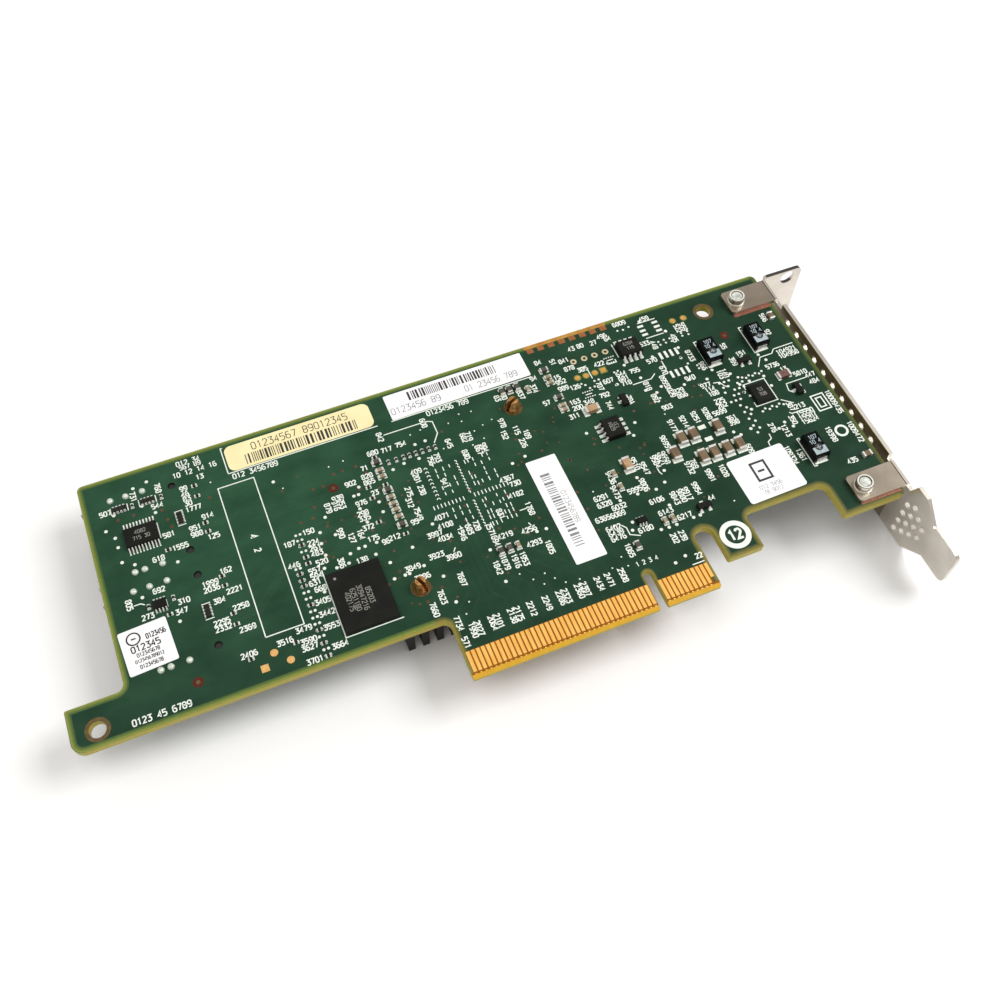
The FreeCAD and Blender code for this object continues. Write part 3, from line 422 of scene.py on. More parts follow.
class FlatWork:  # thin raised shapes on one flat face, all sizes in mm
    def __init__(self, low, high):
        self.mesh = bmesh.new()
        self.low = low
        self.high = high

    def shape(self, points):
        area = sum(a[0] * b[1] - a[1] * b[0] for a, b in zip(points, points[1:] + points[:1]))
        if (area > 0) != (self.high > self.low):
            points = points[::-1]
        top = [self.mesh.verts.new((x * mm, y * mm, self.high * mm)) for x, y in points]
        foot = [self.mesh.verts.new((x * mm, y * mm, self.low * mm)) for x, y in points]
        self.mesh.faces.new(top)
        for i in range(len(points)):
            self.mesh.faces.new((foot[i - 1], foot[i], top[i], top[i - 1]))

    def rect(self, x, y, width, height, angle=0.0):
        cos, sin = math.cos(math.radians(angle)), math.sin(math.radians(angle))
        corners = [(i * width / 2, j * height / 2) for i, j in ((-1, -1), (1, -1), (1, 1), (-1, 1))]
        self.shape([(x + u * cos - v * sin, y + u * sin + v * cos) for u, v in corners])

    def span(self, x0, x1, y0, y1, margin=0.0):  # a rectangle from side to side
        self.rect((x0 + x1) / 2, (y0 + y1) / 2, x1 - x0 + 2 * margin, y1 - y0 + 2 * margin)

    def border(self, x0, x1, y0, y1, width):  # the outline of a rectangle
        self.line([(x0, y0), (x1, y0), (x1, y1), (x0, y1)], width, True)

    def disc(self, x, y, radius, sides=16):
        turns = [2 * math.pi * i / sides for i in range(sides)]
        self.shape([(x + radius * math.cos(t), y + radius * math.sin(t)) for t in turns])

    def line(self, points, width, closed=False):
        spots = [Vector(p) for p in points]
        count = len(spots)
        sides = []
        for i, spot in enumerate(spots):
            before = spots[i - 1] if closed or i else None
            after = spots[(i + 1) % count] if closed or i < count - 1 else None
            ways = [w.normalized() for w in (before and spot - before, after and after - spot) if w]
            way = sum(ways, Vector((0, 0))).normalized()
            normal = Vector((-way.y, way.x))
            bend = max(abs(way.dot(ways[0])), 0.5)  # keeps the reach of a sharp corner short
            sides.append((spot + normal * width / 2 / bend, spot - normal * width / 2 / bend))
        following = sides[1:] + sides[:1] if closed else sides[1:]
        for (left, right), (nextLeft, nextRight) in zip(sides, following):
            self.shape([tuple(right), tuple(nextRight), tuple(nextLeft), tuple(left)])

    def ring(self, x, y, outer, inner, sides=32, start=0.0, turn=360.0):
        middle = (outer + inner) / 2
        steps = sides if turn == 360 else sides + 1
        spots = [(x + middle * math.cos(math.radians(start + turn * i / sides)),
                  y + middle * math.sin(math.radians(start + turn * i / sides))) for i in range(steps)]
        self.line(spots, outer - inner, turn == 360)

    def digits(self, text, x, y, height, angle=0.0, weight=0.22, spread=1.0):  # centred on x, y
        cos, sin = math.cos(math.radians(angle)), math.sin(math.radians(angle))
        unit = height / glyphSize["high"]
        wide = unit * spread
        for i, figure in enumerate(text):
            left = ((i - len(text) / 2 + 0.5) * glyphSize["step"] - glyphSize["wide"] / 2) * wide
            for stroke in glyphs[figure]:
                spots = [(left + u * wide, (v - glyphSize["high"] / 2) * unit) for u, v in stroke]
                self.line([(x + u * cos - v * sin, y + u * sin + v * cos) for u, v in spots], weight * height)

    def make(self, name, finish, slot="board"):
        return addPiece(name, self.mesh, finish)


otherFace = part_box("circuit_board")[0].z / mm  # the solder face lies at zero


def work(side, height):  # flat work on the solder face (1) or the component face (-1)
    return FlatWork(0.0, height) if side > 0 else FlatWork(otherFace, otherFace - height)


def looseBoxes(node):  # the box of each separate solid of a node, in mm
    mesh = bmesh.new()
    mesh.from_mesh(nodes[node].data)
    bmesh.ops.remove_doubles(mesh, verts=mesh.verts, dist=1e-6)
    boxes = []
    seen = set()
    for start in mesh.verts:
        if start in seen:
            continue
        group, edge = {start}, [start]
        while edge:
            for link in edge.pop().link_edges:
                for vert in link.verts:
                    if vert not in group:
                        group.add(vert)
                        edge.append(vert)
        seen |= group
        spots = [vert.co / mm for vert in group]
        boxes.append([(min(s[i] for s in spots), max(s[i] for s in spots)) for i in range(3)])
    mesh.free()
    return boxes


# board

boardEdge = (  # corner x, corner y, corner radius
    (-110.25, 13.0, 2.4), (-39.35, 13.0, 1.6), (-39.35, 0.0, 0.4), (-0.95, 0.0, 0.0), (-0.95, 8.4, 0.95),
    (0.95, 8.4, 0.95), (0.95, 0.0, 0.0), (12.35, 0.0, 0.4), (12.35, 12.9, 2.02), (16.4, 12.9, 2.02),
    (16.4, 4.55, 0.4), (24.2, 4.55, 0.4), (24.2, 12.9, 1.7), (43.0, 12.9, 1.7), (43.0, 4.55, 0.4),
    (57.4, 4.55, 1.2), (57.4, 68.9, 1.2), (-99.2, 68.9, 1.2), (-99.2, 22.0, 1.6), (-110.25, 22.0, 0.4),
)

edgeLook = {"height": 0.012, "arcSteps": 6, "keyHalf": 1.0, "keyShare": 0.5}  # narrower round the key notch


def edgeLoop(distance):
    loop = []
    count = len(boardEdge)
    for i, (x, y, radius) in enumerate(boardEdge):
        inset = distance * (edgeLook["keyShare"] if abs(x) < edgeLook["keyHalf"] else 1.0)
        back = (Vector(boardEdge[i - 1][:2]) - Vector((x, y))).normalized()
        on = (Vector(boardEdge[(i + 1) % count][:2]) - Vector((x, y))).normalized()
        outward = on.x * back.y - on.y * back.x > 0  # a corner of the board, not of a cut-out
        corner = Vector((x, y)) + (back + on) * (inset if outward else -inset)
        bend = max(radius - inset, 0.0) if outward else radius + inset
        centre = corner + (back + on) * bend
        for step in range(edgeLook["arcSteps"] + 1):
            turn = math.pi / 2 * step / edgeLook["arcSteps"]
            loop.append(centre - on * bend * math.cos(turn) - back * bend * math.sin(turn))
    return loop


def edgeBand(side, near, far, name, finish):  # a strip along the edge that stops short of the bevel
    band = work(side, edgeLook["height"])
    outside, inside = edgeLoop(near), edgeLoop(far)
    lowest = tongueSize["bevelTop"]
    for i in range(len(outside)):
        quad = [outside[i - 1], outside[i], inside[i], inside[i - 1]]
        quad = [Vector((spot.x, max(spot.y, lowest))) for spot in quad]
        if max(spot.y for spot in quad) < lowest + 0.01:
            continue
        spots = [tuple(spot) for n, spot in enumerate(quad) if (spot - quad[n - 1]).length > 1e-4]
        if len(spots) > 2:
            band.shape(spots)
    band.make(name, finish)


for side, face in ((1, "solder_face"), (-1, "component_face")):
    for name, (color, start, end) in rimBands.items():
        edgeBand(side, start, end, face + "_" + name, name)

# bare rings round the holes
ringLook = {"height": 0.03, "inner": 1.62, "sides": 40}
holeRings = {  # outer radius and the holes it goes round
    2.35: ((-105.25, 16.4), (41.55, 63.25)),
    2.05: ((-8.9, 54.5), (-41.9, 21.5)),
}
for side, name in ((1, "solder_face_hole_rings"), (-1, "component_face_hole_rings")):
    rings = work(side, ringLook["height"])
    for outer, places in holeRings.items():
        for x, y in places:
            rings.ring(x, y, outer, ringLook["inner"], ringLook["sides"])
    rings.make(name, "ring_copper")


traceLook = {"width": 0.16, "height": 0.006}
pairLook = {"count": 12, "gap": 0.2, "start": (-36.9, 6.2), "pitch": 3.0, "goal": (-33.5, 29.0),
            "goalPitch": 1.35, "knee": 13.2, "kneeShare": 0.25}


def bus(flat, start, bends, lines, pitch):  # parallel traces with mitred corners
    for n in range(lines):
        shift = (n - (lines - 1) / 2) * pitch
        spots = [Vector(start)] + [Vector(b) for b in bends]
        moved = []
        for i, spot in enumerate(spots):
            ways = []
            if i:
                ways.append((spot - spots[i - 1]).normalized())
            if i < len(spots) - 1:
                ways.append((spots[i + 1] - spot).normalized())
            way = sum(ways, Vector((0, 0))).normalized()
            normal = Vector((-way.y, way.x))
            moved.append(spot + normal * shift / normal.dot(Vector((-ways[0].y, ways[0].x))))
        flat.line([tuple(spot) for spot in moved], traceLook["width"])


traceRuns = (  # start, bends, lines, pitch
    ((-84, 57.5), ((-66, 57.5), (-60, 51.5), (-46, 51.5)), 4, 0.42),
    ((-84, 50.5), ((-66, 50.5), (-63.5, 48), (-46, 48)), 4, 0.42),
    ((-84, 35.0), ((-70, 35), (-64.5, 40.5), (-48, 40.5), (-44, 44.5)), 4, 0.42),
    ((-84, 28.5), ((-72, 28.5), (-66, 34.5), (-55, 34.5), (-51, 38.5), (-44, 38.5)), 4, 0.42),
    ((-47, 29.5), ((-42.5, 29.5), (-39, 33), (-34, 33)), 6, 0.4),
    ((-47, 26.0), ((-43, 26), (-38.5, 30.5), (-34, 30.5)), 4, 0.4),
    ((-2, 46), ((-9, 46), (-14, 41), (-17, 41)), 6, 0.5),
    ((4, 35), ((-3, 35), (-4.5, 36.5), (-13, 36.5), (-15, 38.5)), 5, 0.5),
    ((36, 60), ((29, 60), (25, 56), (25, 46), (12, 46)), 3, 0.6),
    ((47, 44), ((36, 33), (36, 27), (24, 25.6)), 4, 0.5),
)
for side, name in ((1, "solder_face_traces"), (-1, "component_face_traces")):
    traces = work(side, traceLook["height"])
    for start, bends, lines, pitch in traceRuns:
        bus(traces, start, bends, lines, pitch)
    for pair in range(pairLook["count"]):  # pairs from the contacts up to the controller
        (x, low), (goal, high) = pairLook["start"], pairLook["goal"]
        x += pair * pairLook["pitch"]
        goal += pair * pairLook["goalPitch"]
        rise = pairLook["knee"] + abs(goal - x) * pairLook["kneeShare"]
        route = ((x, low), (x, rise), (goal, rise + abs(goal - x)), (goal, high))
        for gap in (-pairLook["gap"], pairLook["gap"]):
            traces.line([(u + gap, v) for u, v in route], traceLook["width"])
    traces.make(name, "trace")
print("board: rim, rings and traces")


# print on the board

numberLook = {"height": 1.06, "weight": 0.225, "widen": 1.06, "raised": 0.035}
acrossPlaces = (  # x, y, how many figures
    (-94.9, 60.6, 3), (-84.8, 58.7, 3), (-84.2, 51.2, 3), (-87.3, 46.6, 3), (-82.7, 47.7, 4),
    (-88.8, 39.8, 3), (-79.0, 60.7, 2), (-79.0, 59.3, 2), (-78.9, 58.1, 2), (-78.9, 56.9, 2),
    (-78.2, 55.4, 4), (-76.0, 52.6, 3), (-79.0, 50.8, 3), (-79.0, 49.3, 3), (-76.0, 47.6, 3),
    (-75.8, 39.2, 3), (-79.3, 37.6, 4), (-79.3, 36.3, 4), (-92.0, 35.0, 3), (-84.9, 35.8, 3),
    (-85.8, 33.8, 3), (-78.6, 33.3, 3), (-75.3, 34.5, 4), (-75.1, 30.6, 4), (-79.3, 28.7, 4),
    (-79.3, 27.4, 4), (-75.1, 25.7, 4), (-76.3, 20.3, 4), (-75.2, 62.3, 2), (-40.5, 54.6, 3),
    (-37.6, 54.3, 3), (-34.4, 54.5, 3), (-43.3, 51.6, 2), (-43.4, 49.6, 3), (-43.4, 48.1, 3),
    (-47.1, 49.1, 3), (-50.6, 46.8, 3), (-46.5, 43.9, 3), (-43.2, 45.2, 2), (-58.4, 41.5, 3),
    (-62.7, 40.1, 3), (-58.2, 38.8, 3), (-58.2, 37.5, 3), (-47.0, 41.5, 3), (-47.0, 40.3, 3),
    (-47.0, 38.0, 3), (-33.7, 46.9, 3), (-63.2, 35.2, 3), (-58.2, 36.2, 3), (-57.9, 34.0, 3),
    (-59.8, 32.7, 3), (-59.8, 31.4, 3), (-60.5, 30.1, 3), (-59.9, 28.5, 3), (-60.3, 25.8, 4),
    (-60.3, 23.1, 4), (-65.4, 21.5, 4), (-69.4, 20.3, 4), (-60.3, 20.2, 4), (-65.2, 18.9, 4),
    (-65.4, 17.5, 4), (-60.0, 15.9, 4), (-65.3, 14.6, 4), (-50.5, 31.4, 3), (-46.9, 35.2, 3),
    (-42.9, 33.9, 3), (-41.9, 26.1, 4), (-40.8, 23.5, 4), (-36.7, 26.9, 4), (-33.6, 25.5, 4),
    (-35.3, 31.5, 4), (-33.6, 30.0, 4), (-32.6, 34.8, 4), (-32.6, 32.7, 4), (-38.0, 35.7, 2),
    (-16.7, 34.1, 4), (-22.4, 26.1, 4), (-17.5, 25.5, 4), (-17.7, 22.3, 4), (-15.9, 36.6, 3),
    (-17.0, 38.3, 4), (0.8, 63.7, 2), (6.3, 62.1, 3), (6.6, 59.7, 3), (3.1, 58.4, 2), (3.4, 57.0, 3),
    (3.2, 55.2, 3), (5.7, 54.5, 3), (4.0, 50.9, 3), (4.0, 49.3, 3), (-1.7, 52.9, 2), (-1.8, 60.1, 2),
    (2.4, 47.5, 3), (6.8, 49.8, 3), (9.2, 58.4, 3), (13.2, 58.4, 3), (28.0, 66.4, 3), (17.0, 65.3, 3),
    (25.0, 59.8, 3), (24.4, 54.9, 3), (13.1, 53.4, 3), (16.5, 54.1, 3), (16.5, 52.8, 3), (16.5, 51.4, 3),
    (19.6, 53.8, 3), (10.7, 50.2, 3), (26.1, 45.3, 3), (26.3, 43.9, 3), (21.8, 42.3, 3), (30.0, 47.5, 3),
    (32.2, 44.4, 3), (32.6, 43.1, 3), (43.6, 49.4, 3), (32.8, 41.8, 3), (33.0, 39.6, 3), (33.0, 38.3, 3),
    (31.6, 36.9, 4), (48.4, 43.8, 4), (50.2, 42.0, 2), (53.1, 39.8, 4), (54.8, 38.5, 3), (54.8, 36.7, 3),
    (53.4, 46.5, 6), (53.4, 45.3, 6), (6.2, 26.0, 4), (1.5, 23.6, 4), (0.5, 22.1, 4), (9.2, 22.1, 4),
    (9.7, 19.0, 4), (4.2, 16.9, 4), (12.8, 16.7, 4), (19.8, 18.5, 2), (-1.0, 26.9, 4), (-1.0, 25.2, 4),
    (-2.8, 22.2, 4), (-1.7, 19.5, 4), (-1.7, 18.3, 4), (-1.7, 17.1, 4), (48.4, 32.0, 3), (48.6, 30.2, 5),
    (48.6, 29.0, 5), (48.6, 27.9, 5), (33.2, 34.6, 3), (33.2, 33.4, 3), (51.4, 15.6, 3), (11.2, 7.6, 2),
    (22.2, 67.2, 4), (-44.8, 33.6, 2), (9.2, 64.5, 2), (11.4, 64.6, 2), (14.5, 64.3, 2), (17.9, 64.2, 2),
)
downPlaces = (
    (-88.9, 62.6, 3), (-83.8, 62.8, 3), (-94.8, 38.7, 3), (-37.8, 57.8, 3), (-53.1, 45.2, 3),
    (-51.5, 45.2, 3), (-50.2, 45.2, 3), (-52.5, 38.7, 3), (-50.8, 36.9, 3), (-48.9, 37.0, 3),
    (-34.1, 45.2, 3), (-34.1, 42.2, 3), (-36.7, 42.8, 3), (-37.4, 40.3, 3), (-36.7, 37.2, 4),
    (-54.4, 32.3, 3), (-38.8, 18.0, 4), (-41.1, 16.0, 4), (-33.9, 20.2, 4), (-37.9, 11.6, 4),
    (-38.0, 7.4, 3), (-28.1, 57.8, 3), (-24.9, 50.9, 3), (-21.5, 51.1, 3), (-20.4, 51.1, 3),
    (-29.9, 48.3, 3), (-28.4, 48.5, 3), (-22.6, 47.0, 3), (-19.7, 47.1, 3), (-18.4, 47.2, 3),
    (-29.2, 42.0, 3), (-12.6, 51.6, 3), (-10.5, 48.8, 3), (-13.3, 48.6, 3), (-8.8, 47.0, 3),
    (-10.4, 45.2, 3), (-11.1, 58.0, 2), (-9.6, 57.9, 2), (-6.0, 57.0, 3), (-2.7, 57.5, 3), (3.9, 62.6, 2),
    (26.8, 58.7, 3), (31.9, 58.8, 3), (33.9, 61.0, 3), (35.3, 61.0, 3), (53.4, 56.6, 3), (32.9, 53.0, 4),
    (25.6, 51.5, 3), (10.8, 52.8, 3), (10.5, 47.3, 3), (15.3, 47.0, 3), (20.4, 48.9, 3), (24.4, 48.8, 4),
    (20.5, 45.3, 3), (24.4, 45.8, 4), (34.2, 49.4, 3), (36.6, 45.8, 3), (37.7, 45.8, 3), (20.6, 37.5, 4),
    (23.4, 37.5, 4), (26.2, 37.6, 4), (28.9, 37.6, 4), (41.0, 52.6, 2), (52.2, 52.5, 2), (41.0, 48.0, 3),
    (2.9, 30.5, 4), (2.3, 27.0, 4), (9.0, 31.8, 4), (10.4, 30.0, 4), (13.2, 30.6, 4), (14.5, 30.8, 4),
    (15.5, 30.8, 4), (17.3, 34.4, 4), (19.1, 26.6, 4), (20.4, 27.2, 3), (8.5, 26.4, 4), (12.9, 21.2, 4),
    (14.5, 21.2, 4), (15.8, 21.2, 4), (18.1, 21.6, 4), (22.2, 23.4, 4), (25.3, 23.4, 4), (-0.9, 13.7, 4),
    (8.6, 12.8, 3), (10.4, 12.8, 3), (40.1, 29.1, 3), (42.4, 27.4, 4), (45.2, 29.3, 3), (46.5, 32.6, 3),
    (40.2, 21.5, 6), (42.2, 20.8, 4), (50.8, 23.0, 5), (55.8, 30.2, 8), (55.9, 21.7, 7), (33.0, 26.2, 3),
    (-30.2, 29.6, 4), (-28.5, 30.0, 3), (-26.8, 30.3, 3), (-24.6, 28.8, 3), (-24.6, 26.0, 4),
    (-21.4, 31.0, 3), (-15.4, 30.0, 4), (-15.2, 20.3, 4), (-26.5, 19.9, 4), (-24.7, 20.3, 4),
    (-22.6, 19.9, 4), (-20.9, 19.8, 4),
)
contactNumbers = {"y": 9.25, "count": 4, "xs": (-35.8, -34.6, -31.8, -30.6, -27.8, -26.5, -23.8, -20.6,
                                                -17.7, -16.5, -13.8, -12.5, -9.6, -7.4, -4.5)}
plainRows = (  # longer rows of plain figures: x, y, figures, height
    (-93.9, 15.1, "0123 45 6789", 1.2), (-64.2, 59.7, "012 3456789", 1.15),
    (-21.9, 59.8, "0123456 789", 1.15), (-76.6, 66.9, "012 34", 1.1), (-76.4, 65.8, "567 89", 1.0),
    (-75.8, 64.3, "10 12 14 16", 1.1), (1.2, 10.3, "1 2 3 4", 0.9),
)

loneFigures = (("4", -68.7, 44.5, 1.4), ("2", -68.8, 41.2, 1.2))  # inside the long frame
numbers = work(1, numberLook["raised"])
counter = 10


def nextFigures(count):  # plain figures, other ones each time
    global counter
    counter += 1
    return str(counter * 37 % (9 * 10 ** (count - 1)) + 10 ** (count - 1))


contactPlaces = tuple((x, contactNumbers["y"], contactNumbers["count"]) for x in contactNumbers["xs"])
for places, angle in ((acrossPlaces, 0), (downPlaces + contactPlaces, -90)):
    for x, y, count in places:
        numbers.digits(nextFigures(count), x, y, numberLook["height"], angle, numberLook["weight"],
                       numberLook["widen"])
for x, y, figures, height in plainRows:
    numbers.digits(figures, x, y, height, 0, 0.2, 1.05)
for figures, x, y, height in loneFigures:
    numbers.digits(figures, x, y, height, -90)
numbers.make("printed_numbers", "white_ink")

outlineLook = {"width": 0.22, "raised": 0.04, "pastArray": 0.35, "besideArray": 0.2}
silkLines = (
    ((-72.5, 22.5), (-65.0, 22.5), (-65.0, 58.0), (-72.5, 58.0), (-72.5, 22.5)),
    ((-36.9, 58.0), (-28.6, 58.0)), ((-27.4, 58.0), (-26.2, 57.5), (-26.2, 54.3), (-27.7, 52.2)),
    ((-58.55, 32.2), (-58.55, 16.75), (-47.0, 16.75)), ((-85.8, 51.0), (-85.8, 54.8)),
    ((-81.9, 52.85), (-80.6, 52.85)), ((-81.9, 30.85), (-80.6, 30.85)), ((-88.0, 35.7), (-88.0, 37.4)),
    ((-94.0, 38.2), (-92.7, 38.2), (-92.0, 37.7)),
    ((45.4, 44.6), (47.0, 46.8), (50.0, 46.8), (50.9, 47.75), (55.8, 47.8)),
    ((35.3, 48.3), (35.3, 56.0), (36.0, 56.0)), ((35.3, 48.3), (36.1, 48.3)),
    ((46.6, 48.3), (46.6, 56.0), (47.3, 56.0)), ((46.6, 48.3), (47.4, 48.3)),
    ((43.35, 17.2), (43.35, 24.6), (44.0, 24.6)), ((43.35, 17.2), (44.1, 17.2)),
    ((26.0, 65.6), (30.4, 65.6)), ((26.0, 61.0), (30.4, 61.0)), ((26.3, 51.6), (26.3, 54.0)),
    ((10.2, 55.3), (10.2, 58.0)), ((17.6, 50.4), (22.0, 50.4), (23.4, 51.4)),
    ((34.0, 44.3), (35.4, 44.0), (35.9, 42.8), (36.5, 42.2)),
    ((39.7, 41.4), (44.9, 41.4), (44.9, 35.2), (39.7, 35.2), (39.7, 36.4)), ((39.7, 40.0), (39.7, 41.4)),
    ((48.4, 37.0), (48.7, 38.2), (53.6, 38.2)), ((49.0, 35.6), (48.3, 36.4), (48.4, 37.0)),
    ((45.4, 34.9), (47.6, 33.1)), ((45.4, 31.3), (45.8, 30.8), (49.2, 30.8), (50.0, 30.4)),
    ((0.0, 19.5), (0.7, 18.6), (0.7, 16.9), (2.6, 15.9)), ((12.8, 29.0), (12.8, 28.0), (13.1, 27.3)),
    ((38.6, 28.0), (38.5, 26.8), (37.4, 26.2), (37.3, 25.2)), ((9.1, 6.15), (11.7, 6.15)),
    ((-17.5, 30.25), (-15.9, 30.25)), ((-17.0, 27.0), (-16.7, 26.2)), ((-33.2, 26.4), (-32.6, 27.2)),
    ((15.0, 57.5), (17.0, 57.5), (17.0, 58.3)), ((15.0, 57.5), (15.0, 58.3)),
    ((-69.6, 60.75), (-37.3, 60.75)), ((-69.6, 60.75), (-69.6, 67.4), (-69.2, 67.4)),
    ((-34.2, 60.7), (-2.0, 60.7)), ((18.0, 62.3), (18.0, 58.4)),
)
silkFrames = ((51.7, 54.6, 29.1, 33.2), (52.5, 53.8, 29.9, 32.4))  # left, right, low, high
silkRings = ((53.3, 23.0, 1.5, 1.0, 24), (20.2, 9.05, 3.2, 2.1, 48))  # x, y, outer, inner, sides
silk = work(1, outlineLook["raised"])
for spots in silkLines:
    silk.line(list(spots), outlineLook["width"])
for frameSides in silkFrames:
    silk.border(*frameSides, 0.3)
for ringSizes in silkRings:
    silk.ring(*ringSizes)
silk.digits("12", *silkRings[1][:2], 2.1, 0, 0.24)
silk.disc(31.0, 61.3, 0.38)
for (x0, x1), (y0, y1), (z0, z1) in looseBoxes("resistor_arrays"):  # a line past each short end
    past, beside = outlineLook["pastArray"], outlineLook["besideArray"]
    if x1 - x0 > y1 - y0:
        for x in (x0 - past, x1 + past):
            silk.rect(x, (y0 + y1) / 2, beside, y1 - y0 + 0.6)
    else:
        for y in (y0 - past, y1 + past):
            silk.rect((x0 + x1) / 2, y, x1 - x0 + 0.6, beside)
silk.make("printed_lines", "white_ink")

# small white test points and vias
dotPlaces = (
    (-88.5, 64.5), (-85.6, 65.1), (-95.6, 56.5), (-94.2, 54.3), (-94.1, 52.0), (-94.1, 48.4), (-91.9, 47.0),
    (-85.5, 57.2), (-84.0, 44.5), (-92.1, 39.4), (-86.6, 31.8), (-93.4, 59.6), (-87.7, 59.7), (-61.6, 55.4),
    (-45.8, 47.7), (-43.1, 42.8), (-43.1, 40.3), (-31.6, 53.3), (-35.3, 49.7), (-37.9, 49.1), (-32.0, 49.7),
    (-54.3, 43.4), (-47.2, 42.7), (-56.3, 40.4), (-56.8, 37.9), (-46.8, 39.2), (-53.6, 38.8), (-46.4, 46.0),
    (-47.4, 46.0), (-55.6, 31.6), (-53.1, 31.7), (-47.6, 31.6), (-57.9, 32.4), (-59.4, 27.5), (-45.6, 28.8),
    (-46.0, 25.1), (-40.4, 30.4), (-37.0, 22.1), (-36.7, 16.0), (-43.8, 25.1), (-42.9, 25.1), (-39.7, 25.7),
    (-56.8, 35.1), (-46.6, 34.1), (-52.2, 33.6), (-50.3, 34.1), (-49.0, 34.1), (-26.4, 24.1), (-26.2, 16.5),
    (-16.2, 24.5), (-14.2, 24.4), (-29.3, 53.4), (-34.9, 33.9), (25.0, 55.8), (31.5, 56.0), (18.2, 56.0),
    (21.5, 46.6), (28.0, 46.3), (31.1, 45.1), (33.3, 45.8), (13.6, 41.2), (11.9, 38.3), (47.9, 45.7),
    (38.7, 45.2), (35.5, 47.6), (47.0, 47.6), (39.2, 41.8), (41.6, 41.9), (45.2, 41.9), (39.1, 39.6),
    (45.5, 39.0), (30.7, 53.2), (14.5, 51.8), (20.0, 51.5), (35.7, 30.6), (31.9, 31.2), (43.2, 29.4),
    (44.4, 27.8), (41.3, 28.4), (7.9, 28.5), (13.9, 28.0), (12.7, 25.4), (10.3, 24.5), (6.3, 24.9),
    (2.4, 19.3), (1.6, 17.6), (7.0, 15.6), (10.4, 15.5), (8.7, 15.5), (14.3, 15.7), (15.8, 15.7),
    (8.7, 8.5), (6.2, 7.8), (11.1, 20.1), (2.3, 24.8), (38.3, 35.0), (33.0, 30.0), (19.5, 48.0),
    (23.1, 47.7), (26.7, 66.0), (-11.4, 42.0), (-14.5, 41.3), (2.9, 42.5),
)
smallDots = (
    (34.0, 59.5), (33.9, 58.7), (35.5, 59.5), (35.4, 58.6), (28.1, 59.1), (28.2, 58.2), (29.5, 59.2),
    (29.6, 58.3), (30.9, 59.1), (31.0, 58.2), (33.1, 50.0), (33.1, 49.1), (30.7, 53.4), (31.4, 51.2),
    (31.1, 45.2), (29.7, 47.0), (30.6, 46.9), (21.5, 45.0), (24.5, 45.0), (21.0, 65.4), (22.3, 65.2),
    (23.8, 65.5), (10.3, 54.5), (11.3, 54.5), (9.7, 53.1), (8.6, 53.1), (7.3, 54.8), (8.0, 54.2),
    (15.3, 55.0), (16.2, 55.1), (14.2, 51.7), (13.2, 48.4),
)
faintDots = (
    (-60.2, 53.2), (-50.0, 54.7), (-46.8, 55.0), (-31.7, 56.0), (-23.2, 55.8), (-20.4, 55.2), (-20.3, 57.2),
    (-17.6, 56.9), (-14.3, 53.3), (-16.6, 52.7), (-18.8, 51.9), (-20.4, 48.7), (-17.6, 49.4), (-26.4, 50.1),
    (-29.3, 56.4), (-34.4, 15.1), (-35.8, 12.9), (-23.1, 17.0), (-18.5, 15.3), (-21.1, 14.9), (-17.1, 13.6),
    (-19.5, 13.2), (-15.5, 12.0), (-12.7, 11.6), (-5.8, 11.4), (-3.1, 13.0), (-2.7, 10.7), (-1.9, 28.8),
    (-56.9, 28.3), (-73.5, 60.1), (-1.4, 19.8), (23.8, 16.1), (20.5, 40.8),
)
dotGroups = ((dotPlaces, 0.36, 12), (faintDots, 0.18, 8), (smallDots, 0.26, 10))  # places, radius, sides
zigzagRows = (  # how many, start, step, jump of every other one, radius
    (9, (36.6, 36.8), (0.0, -0.95), (1.0, 0.0), 0.3), (7, (40.3, 33.6), (0.85, 0.0), (0.0, 0.5), 0.28),
    (7, (40.6, 43.3), (0.8, 0.0), (0.0, -0.4), 0.28),
)
# crowded test points beside the regulator, and two bare footprints
crowdLook = {"left": 35.2, "top": 43.7, "count": 5, "pitch": 1.15, "rowPitch": 1.35, "jump": 0.3,
             "radius": 0.3}
bareFootprints = {"places": ((15.9, 58.5), (7.7, 51.7)), "pads": 5, "pitch": 0.55, "row": 0.75,
                  "radius": 0.17}
points = work(1, 0.03)
for places, radius, sides in dotGroups:
    for x, y in places:
        points.disc(x, y, radius, sides)
for x, y in bareFootprints["places"]:
    for k in range(bareFootprints["pads"]):
        for side in (-1, 1):
            points.disc(x + (k - 2) * bareFootprints["pitch"], y + bareFootprints["row"] * side,
                        bareFootprints["radius"], 8)
    points.rect(x, y, 1.5, 0.24)
for row in range(crowdLook["count"]):
    for column in range(crowdLook["count"]):
        if (row + column) % 4 != 3:
            x = crowdLook["left"] + crowdLook["pitch"] * column + crowdLook["jump"] * (row % 2)
            points.disc(x, crowdLook["top"] - crowdLook["rowPitch"] * row, crowdLook["radius"], 10)
for count, (x, y), (stepX, stepY), (jumpX, jumpY), radius in zigzagRows:
    for k in range(count):
        points.disc(x + stepX * k + jumpX * (k % 2), y + stepY * k + jumpY * (k % 2), radius, 10)
points.make("test_points", "bright_pad", "solder")

